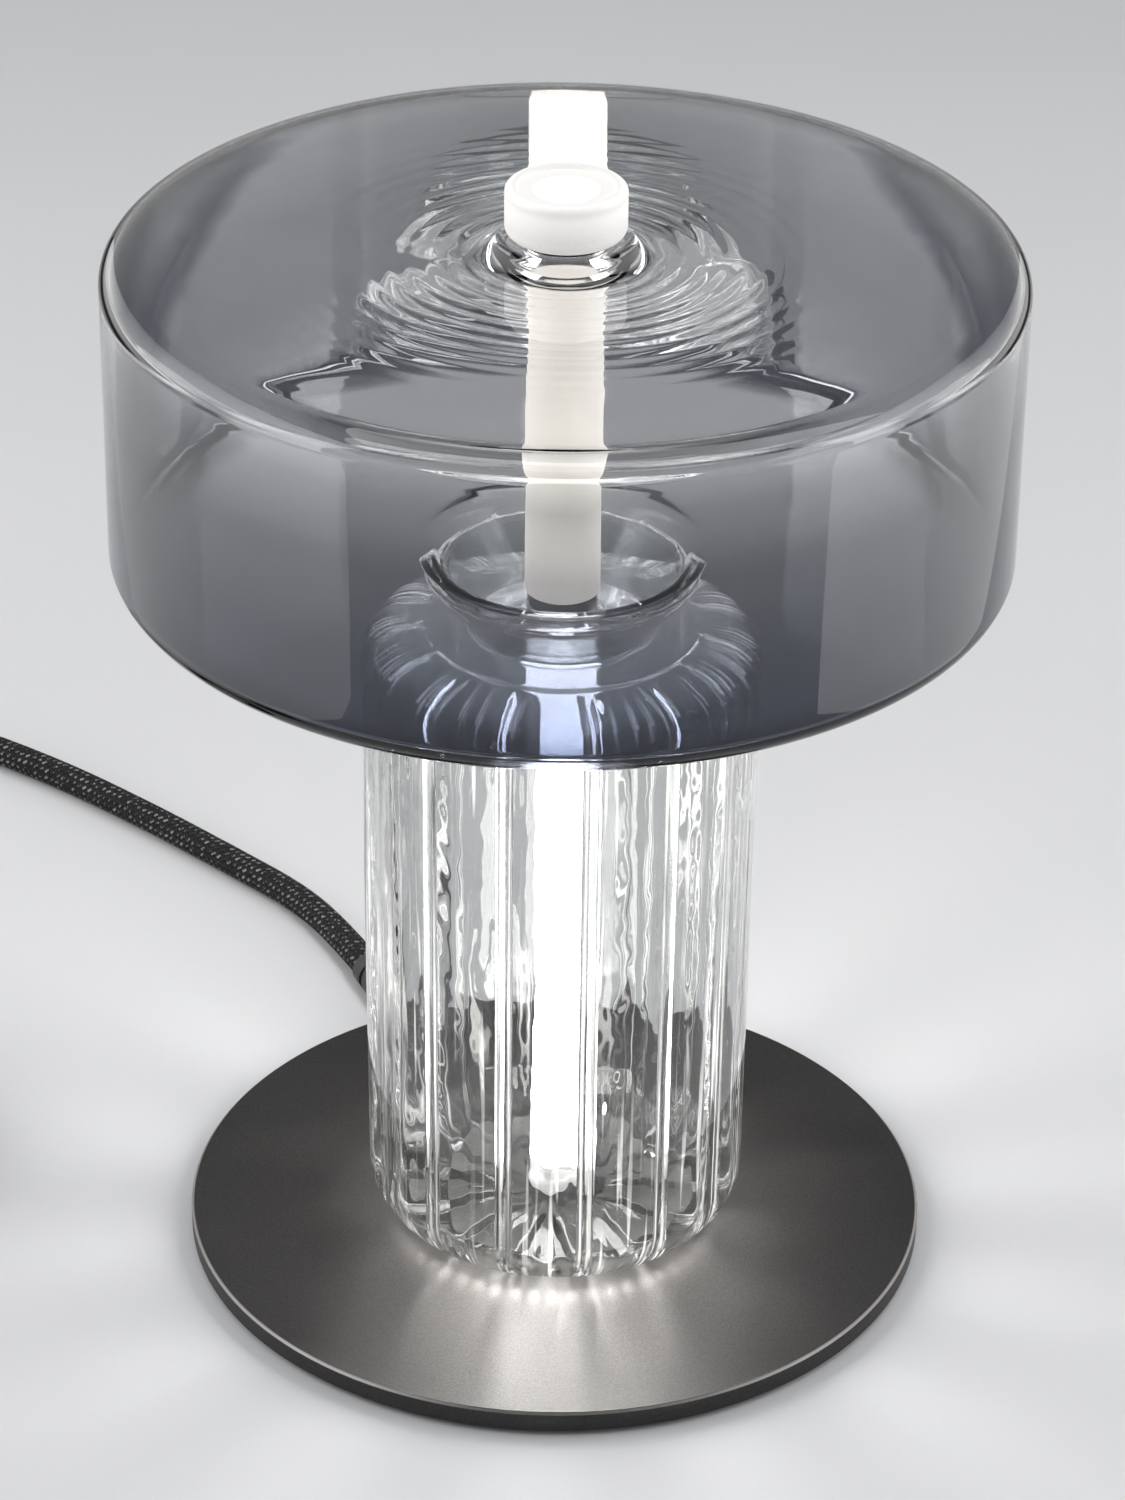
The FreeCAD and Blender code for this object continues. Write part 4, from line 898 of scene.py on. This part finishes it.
def vase_swell(radius, height, angle, out, up):
    """Inside: ribs, hollows between them, upright streaks and chill marks. Outside: faint streaks."""
    on_wall = out < -wall_facing and radius > wall_beyond_radius
    on_floor = up > level_facing and height < vase_bottom + floor_below_height
    on_roof = up < -level_facing and height > shoulder_start and radius > roof_beyond_radius
    if not (on_wall or on_floor or on_roof):
        outside = height > vase_bottom + smooth_foot_height and radius > smooth_mouth_radius
        return uneven(angle, height, *outer_streaks) if outside else 0.0
    turn = (angle - math.radians(rib_turn)) * rib_count / (2 * math.pi)
    away = abs(turn - round(turn)) * 2 * math.pi * radius / rib_count
    rib = max(0.0, 1 - (away / rib_half_width) ** 2) ** rib_roundness
    skirt = 0.5 + 0.5 * math.cos(2 * math.pi * turn)
    start = min(1.0, max(0.0, (radius - rib_start_radius) / rib_start_run))
    if on_roof:
        start = min(1.0, max(0.0, (radius - vase_flat_radius) / roof_start_run))
    place = Vector((round(turn) * rib_wander_step, height * rib_wander_drift, rib_wander_seed))
    wander = 1 + rib_wander * noise.noise(place)
    if on_floor:
        ripple = uneven(angle, radius, *floor_star) * start
        ripple += uneven(angle, radius, *fine_floor_star) * start
    else:
        ripple = uneven(angle, height, *wall_streaks)
        ripple += uneven(angle, height, *fine_streaks)
        ripple += uneven(angle, height, *chill_marks)
        if on_roof:
            ripple *= roof_streak_gain * start
    return start * wander * (rib_height * rib + rib_skirt_height * skirt) + ripple * (1 - rib)


def vase_angles():
    """Close columns over each rib and wider ones between."""
    pitch = 360.0 / rib_count
    free = pitch - 2 * rib_columns_reach
    angles = []
    for rib in range(rib_count):
        centre = rib_turn + rib * pitch
        for number in range(rib_columns):
            angles.append(centre + rib_columns_reach * (2 * number / (rib_columns - 1) - 1))
        for number in range(1, between_columns + 1):
            angles.append(centre + rib_columns_reach + free * number / (between_columns + 1))
    return [math.radians(angle) for angle in angles]


# Drum
def drum_outline():
    """Round the neck's end, out along the cone and the bottom, up the wall, in to the lip, and back."""
    inner_radius = drum_radius - drum_wall
    inner_top = drum_top - drum_wall
    inner_bottom = drum_bottom + drum_wall
    top_corner = drum_radius - drum_top_corner_depth
    top_corner_foot = drum_top - drum_top_corner_drop
    foot_corner = drum_radius - drum_foot_corner_depth
    foot_corner_top = drum_bottom + drum_foot_corner_rise
    cone_foot = cone_root_radius + cone_blend
    lip_foot = drum_lip_radius + drum_lip_blend
    lip_apex = (lip_foot - drum_lip_blend / 2, drum_top)
    lip_side = (drum_lip_radius + drum_lip_flare, drum_lip_top - drum_lip_side)
    lip_edge = (drum_lip_radius + drum_lip_round, drum_lip_top)
    bore = drum_bore_radius
    bore_edge = drum_bore_radius + drum_bore_edge
    neck_root_apex = on_cone(cone_share(inner_bottom, -drum_wall), -drum_wall)
    neck_tip_apex = on_cone(cone_share(drum_cone_end, -drum_wall), -drum_wall)

    outline = Outline(*on_cone(neck_tip_share, -drum_wall))
    outline.bend(*neck_tip_apex, cone_end_radius, drum_cone_end, count=8)
    outline.bend(cone_end_radius + cone_end_round, drum_cone_end, cone_tip_radius, cone_tip_height, count=6)
    outline.line(cone_root_radius, cone_root_height, step=2.0)
    outline.bend(cone_root_radius + cone_root_round, drum_bottom, cone_foot, drum_bottom, count=8)
    outline.line(foot_corner, drum_bottom, step=3.0)
    outline.bend(drum_radius, drum_bottom, drum_radius, foot_corner_top, count=14)
    outline.line(drum_radius, top_corner_foot, step=3.0)
    outline.bend(drum_radius, drum_top, top_corner, drum_top, count=14)
    outline.line(lip_foot, drum_top, step=2.5)
    outline.bend(*lip_apex, *lip_side, count=6)
    outline.bend(*lip_edge, drum_lip_radius - drum_lip_edge, drum_lip_top, count=5)
    outline.line(bore_edge, drum_lip_top, step=2.0)
    outline.bend(bore, drum_lip_top, bore, drum_lip_top - drum_bore_edge, count=3)
    outline.line(bore, inner_top + drum_bore_edge, step=1.5)
    outline.bend(bore, inner_top, bore_edge, inner_top, count=3)
    outline.line(top_corner, inner_top, step=1.6)
    outline.bend(inner_radius, inner_top, inner_radius, top_corner_foot, count=12)
    outline.line(inner_radius, foot_corner_top, step=3.0)
    outline.bend(inner_radius, inner_bottom, foot_corner, inner_bottom, count=12)
    outline.line(cone_foot, inner_bottom, step=2.0)
    outline.bend(*neck_root_apex, *on_cone(1.0, -drum_wall), count=8)
    outline.line(*on_cone(neck_tip_share, -drum_wall), step=2.0)
    return outline


def drum_swell(radius, height, angle, out, up):
    """Rings round the lip, as the glass was spun, and slow waves in the walls."""
    if radius < drum_smooth_radius or height < drum_bottom + drum_smooth_height:
        return 0.0
    slow = around_noise(angle, height + radius, drum_wave_lumps, drum_wave_drift)
    grow = drum_wave_depth * slow
    if up < -drum_roof_facing and height > drum_top - drum_roof_depth:
        near = max(0.0, 1.0 - (radius - drum_lip_radius) / drum_ring_reach)
        grow += drum_ring_depth * near * math.sin(radius * drum_ring_turn + drum_ring_wander * slow)
    return grow


drum_angles = [2 * math.pi * number / drum_columns for number in range(drum_columns)]
vase_mesh = turned("vase_glass", vase_outline(), vase_angles(), vase_swell)
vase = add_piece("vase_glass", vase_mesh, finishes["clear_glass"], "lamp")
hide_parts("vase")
drum_mesh = turned("drum_glass", drum_outline(), drum_angles, drum_swell)
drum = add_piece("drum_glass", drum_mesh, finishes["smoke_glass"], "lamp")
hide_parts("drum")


# Cord
def read_line(name, points):
    """The smooth line through a route, read from its curve."""
    curve = bpy.data.curves.new(name, "CURVE")
    curve.dimensions = "3D"
    curve.resolution_u = cord_line_steps
    spline = curve.splines.new("NURBS")
    spline.points.add(len(points) - 1)
    for point, (x, y, z) in zip(spline.points, points):
        point.co = (x * MM, y * MM, z * MM, 1.0)
    spline.order_u = 3
    spline.use_endpoint_u = True
    holder = bpy.data.objects.new(name, curve)
    line = bpy.data.meshes.new_from_object(holder)
    places = [vertex.co.copy() for vertex in line.vertices]
    bpy.data.objects.remove(holder)
    bpy.data.curves.remove(curve)
    return places


def tube(name, places, radius, sides):
    """A tube along a line in metres, with turns round it and metres along it as its coordinates."""
    shape = bmesh.new()
    coordinates = shape.loops.layers.uv.new("UVMap")
    side = Vector((0, 0, 1)).cross(places[1] - places[0]).normalized()
    rings = []
    lengths = []
    length = 0.0
    for number, place in enumerate(places):
        before = places[max(0, number - 1)]
        after = places[min(len(places) - 1, number + 1)]
        along = (after - before).normalized()
        side = (side - along * side.dot(along)).normalized()
        top = along.cross(side)
        length += (place - before).length
        lengths.append(length)
        ring = []
        for step in range(sides):
            angle = 2 * math.pi * step / sides
            outwards = side * math.cos(angle) + top * math.sin(angle)
            ring.append(shape.verts.new(place + outwards * radius))
        rings.append(ring)
    for number in range(len(rings) - 1):
        near, far = rings[number], rings[number + 1]
        for step in range(sides):
            after = (step + 1) % sides
            face = shape.faces.new((near[step], near[after], far[after], far[step]))
            face.smooth = True
            corners = (
                (step / sides, lengths[number]),
                ((step + 1) / sides, lengths[number]),
                ((step + 1) / sides, lengths[number + 1]),
                (step / sides, lengths[number + 1]),
            )
            for loop, corner in zip(face.loops, corners):
                loop[coordinates].uv = corner
    shape.faces.new(rings[0][::-1])
    shape.faces.new(rings[-1])
    return as_mesh(name, shape), length


def coil_points():
    """The coil's route: in on the lower layer, a climb where it reverses, out on the upper layer."""
    spread = 1 / math.cos(math.pi / coil_points_per_turn)
    climb_start = (coil_turns - coil_climb_turns) / 2
    points = []
    for number in range(coil_turns * coil_points_per_turn + 1):
        turn = number / coil_points_per_turn
        inward = min(turn, coil_turns - turn)
        climb = min(max((turn - climb_start) / coil_climb_turns, 0.0), 1.0)
        climb = climb * climb * (3 - 2 * climb)
        radius = (coil_outer_radius - coil_pitch * inward) * spread
        angle = math.pi + 2 * math.pi * turn
        x = coil_x + radius * math.cos(angle)
        y = coil_y + radius * math.sin(angle)
        points.append((x, y, on_table + coil_layer_height * climb))
    return points


lamp_cord_route = [
    (-49.02, 105.13, 4.9),
    (-56.9, 122.0, 4.6),
    (-68.5, 141.0, 4.1),
    (-86.5, 159.3, on_table),
    (-112.0, 184.0, on_table),
    (-140.5, 209.0, on_table),
    (-171.0, 230.0, on_table),
    (-203.0, 233.5, on_table),
    (-228.0, 219.0, on_table),
    (-239.6, 199.0, 5.2),
    (-242.0, 179.0, 6.2),
    (-242.0, 162.0, 6.2),
]
supply_route = [
    (-242.0, 112.0, 6.2),
    (-242.0, 91.0, 6.2),
    (-257.4, 55.0, on_table),
]
plug_route = [
    (-257.4, 1.2, 12.3),
    (-250.0, -25.8, 6.5),
    (-250.0, -42.0, 6.5),
]


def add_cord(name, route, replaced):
    places = read_line(name + "_line", route)
    mesh, length = tube(name, places, cord_diameter / 2 * MM, cord_sides)
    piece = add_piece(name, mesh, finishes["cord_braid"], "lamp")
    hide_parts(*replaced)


add_cord(
    "braided_lamp_cord",
    lamp_cord_route,
    ["lamp_cord"],
)
add_cord(
    "braided_supply_cord",
    supply_route + coil_points() + plug_route,
    ["supply_cord", "cord_coil", "plug_cord"],
)


# Floor, light and reflectors, in metres
def face_mesh(name, corners, material):
    shape = bmesh.new()
    shape.faces.new([shape.verts.new(corner) for corner in corners])
    mesh = as_mesh(name, shape)
    mesh.materials.append(material)
    return mesh


def add_floor():
    corners = [(x * floor_reach, y * floor_reach, 0.0) for x, y in ((-1, -1), (1, -1), (1, 1), (-1, 1))]
    floor = add_object("floor", face_mesh("floor", corners, floor_finish()))


def add_softbox(name, place, width, height, power):
    light = bpy.data.lights.new(name, "AREA")
    light.shape = "RECTANGLE"
    light.size = width
    light.size_y = height
    light.energy = power
    holder = add_object(name, light)
    holder.location = place
    holder.rotation_euler = (Vector(light_target) - Vector(place)).to_track_quat("-Z", "Y").to_euler()
    holder.visible_camera = False


def card_light(name, front_y, back_y, height, low, high):
    """Even low light at the card's foot, a dark gap, then high light, all fading out towards the back."""
    f = Finish(name)
    f.tree.nodes.remove(f.shader)
    y, z = f.parts()[1:]
    fade = f.spread(y, front_y, back_y, 1.0, card_back_share)
    profile = f.ramp(
        f.spread(z, 0.0, height),
        (0.0, grey(low / high)),
        (card_gap_share - 0.04, grey(low / high)),
        (card_gap_share, grey(0.05)),
        (card_gap_share + 0.05, grey(0.05)),
        (card_gap_share + 0.09, grey(1.0)),
        (1.0, grey(0.8)),
    )
    glow = f.tree.nodes.new("ShaderNodeEmission")
    f.join(f.product(fade, profile, high), glow.inputs["Strength"])
    f.join(glow.outputs[0], f.output.inputs["Surface"])
    return f.material


def add_card(name, side, foot_x, head_x, front_y, back_y, height, low, high):
    """A bright upright card seen only in reflections. Its foot shows in the drum's wall, and above a
    dark gap its head shows in the drum's round edge."""
    foot = [(side * foot_x, y, 0.0) for y in (front_y, back_y)]
    head = [(side * head_x, y, height) for y in (back_y, front_y)]
    light = card_light(name, front_y, back_y, height, low, high)
    card = add_object(name, face_mesh(name, foot + head, light))
    card.visible_camera = False
    card.visible_diffuse = False
    card.visible_transmission = False
    card.visible_shadow = False


def add_world():
    """Pale where the camera looks, also through glass, and dark overhead in reflections."""
    world = bpy.data.worlds.new("studio")
    world.use_nodes = True
    tree = world.node_tree
    tree.nodes.clear()
    output = tree.nodes.new("ShaderNodeOutputWorld")
    direction = tree.nodes.new("ShaderNodeSeparateXYZ")
    tree.links.new(tree.nodes.new("ShaderNodeTexCoord").outputs["Generated"], direction.inputs[0])
    path = tree.nodes.new("ShaderNodeLightPath")

    def even(colour, strength):
        light = tree.nodes.new("ShaderNodeBackground")
        light.inputs["Color"].default_value = (*colour, 1.0)
        light.inputs["Strength"].default_value = strength
        return light.outputs[0]

    def by_height(low, high):
        ramp = tree.nodes.new("ShaderNodeValToRGB")
        tree.links.new(direction.outputs["Z"], ramp.inputs[0])
        for element, position, level in zip(ramp.color_ramp.elements, sky_heights, (low, high)):
            element.position = position
            element.color = (*grey(level), 1.0)
        light = tree.nodes.new("ShaderNodeBackground")
        tree.links.new(ramp.outputs[0], light.inputs["Color"])
        return light.outputs[0]

    def choose(share, first, second):
        mix = tree.nodes.new("ShaderNodeMixShader")
        tree.links.new(share, mix.inputs[0])
        tree.links.new(first, mix.inputs[1])
        tree.links.new(second, mix.inputs[2])
        return mix.outputs[0]

    lit = choose(path.outputs["Is Glossy Ray"], even(fill_colour, fill_strength), by_height(*mirrored_sky))
    lit = choose(path.outputs["Is Transmission Ray"], lit, by_height(*sky_through_glass))
    lit = choose(path.outputs["Is Camera Ray"], lit, even(backdrop_colour, 1.0))
    tree.links.new(lit, output.inputs["Surface"])
    scene.world = world


def add_glow_lamps(count, radius, height, power, front):
    """A ring of small lamps in the vase, for the pool of light on the base."""
    lit = bpy.data.collections.new("lit_by_glow_lamps")
    lit.objects.link(frame["nodes"]["base_plate"])
    lit.objects.link(frame["nodes"]["vase_gasket"])
    for number in range(count):
        angle = math.radians(rib_turn) + 2 * math.pi * (number + 0.5) / count
        share = max(0.0, -math.sin(angle)) ** front
        if share < least_lamp_share:
            continue
        light = bpy.data.lights.new("glow_lamp", "POINT")
        light.energy = power * share
        light.color = lamp_colour
        light.shadow_soft_size = glow_lamp_radius * MM
        holder = add_object("glow_lamp", light)
        holder.location = (radius * MM * math.cos(angle), radius * MM * math.sin(angle), height * MM)
        holder.visible_camera = False
        holder.visible_transmission = False
        holder.light_linking.receiver_collection = lit


add_floor()
add_world()
for lamps in (column_lamps, foot_lamps, contact_lamps):
    add_glow_lamps(*lamps)
add_softbox("left_box", (-0.95, 0.10, 0.55), width=0.9, height=0.8, power=7.0)
add_softbox("right_box", (0.95, 0.05, 0.50), width=0.9, height=0.8, power=6.0)
add_softbox("top_box", (0.1, 0.25, 1.5), width=1.2, height=1.0, power=9.0)
add_card("left_card", -1, 0.33, 0.55, -0.30, 0.75, height=1.1, low=1.6, high=4.0)
add_card("right_card", 1, 0.36, 0.58, -0.22, 0.75, height=1.0, low=2.0, high=4.0)

scene.view_settings.view_transform = "Standard"
scene.cycles.max_bounces = 28
scene.cycles.transmission_bounces = 24
scene.cycles.glossy_bounces = 10
scene.cycles.transparent_max_bounces = 16
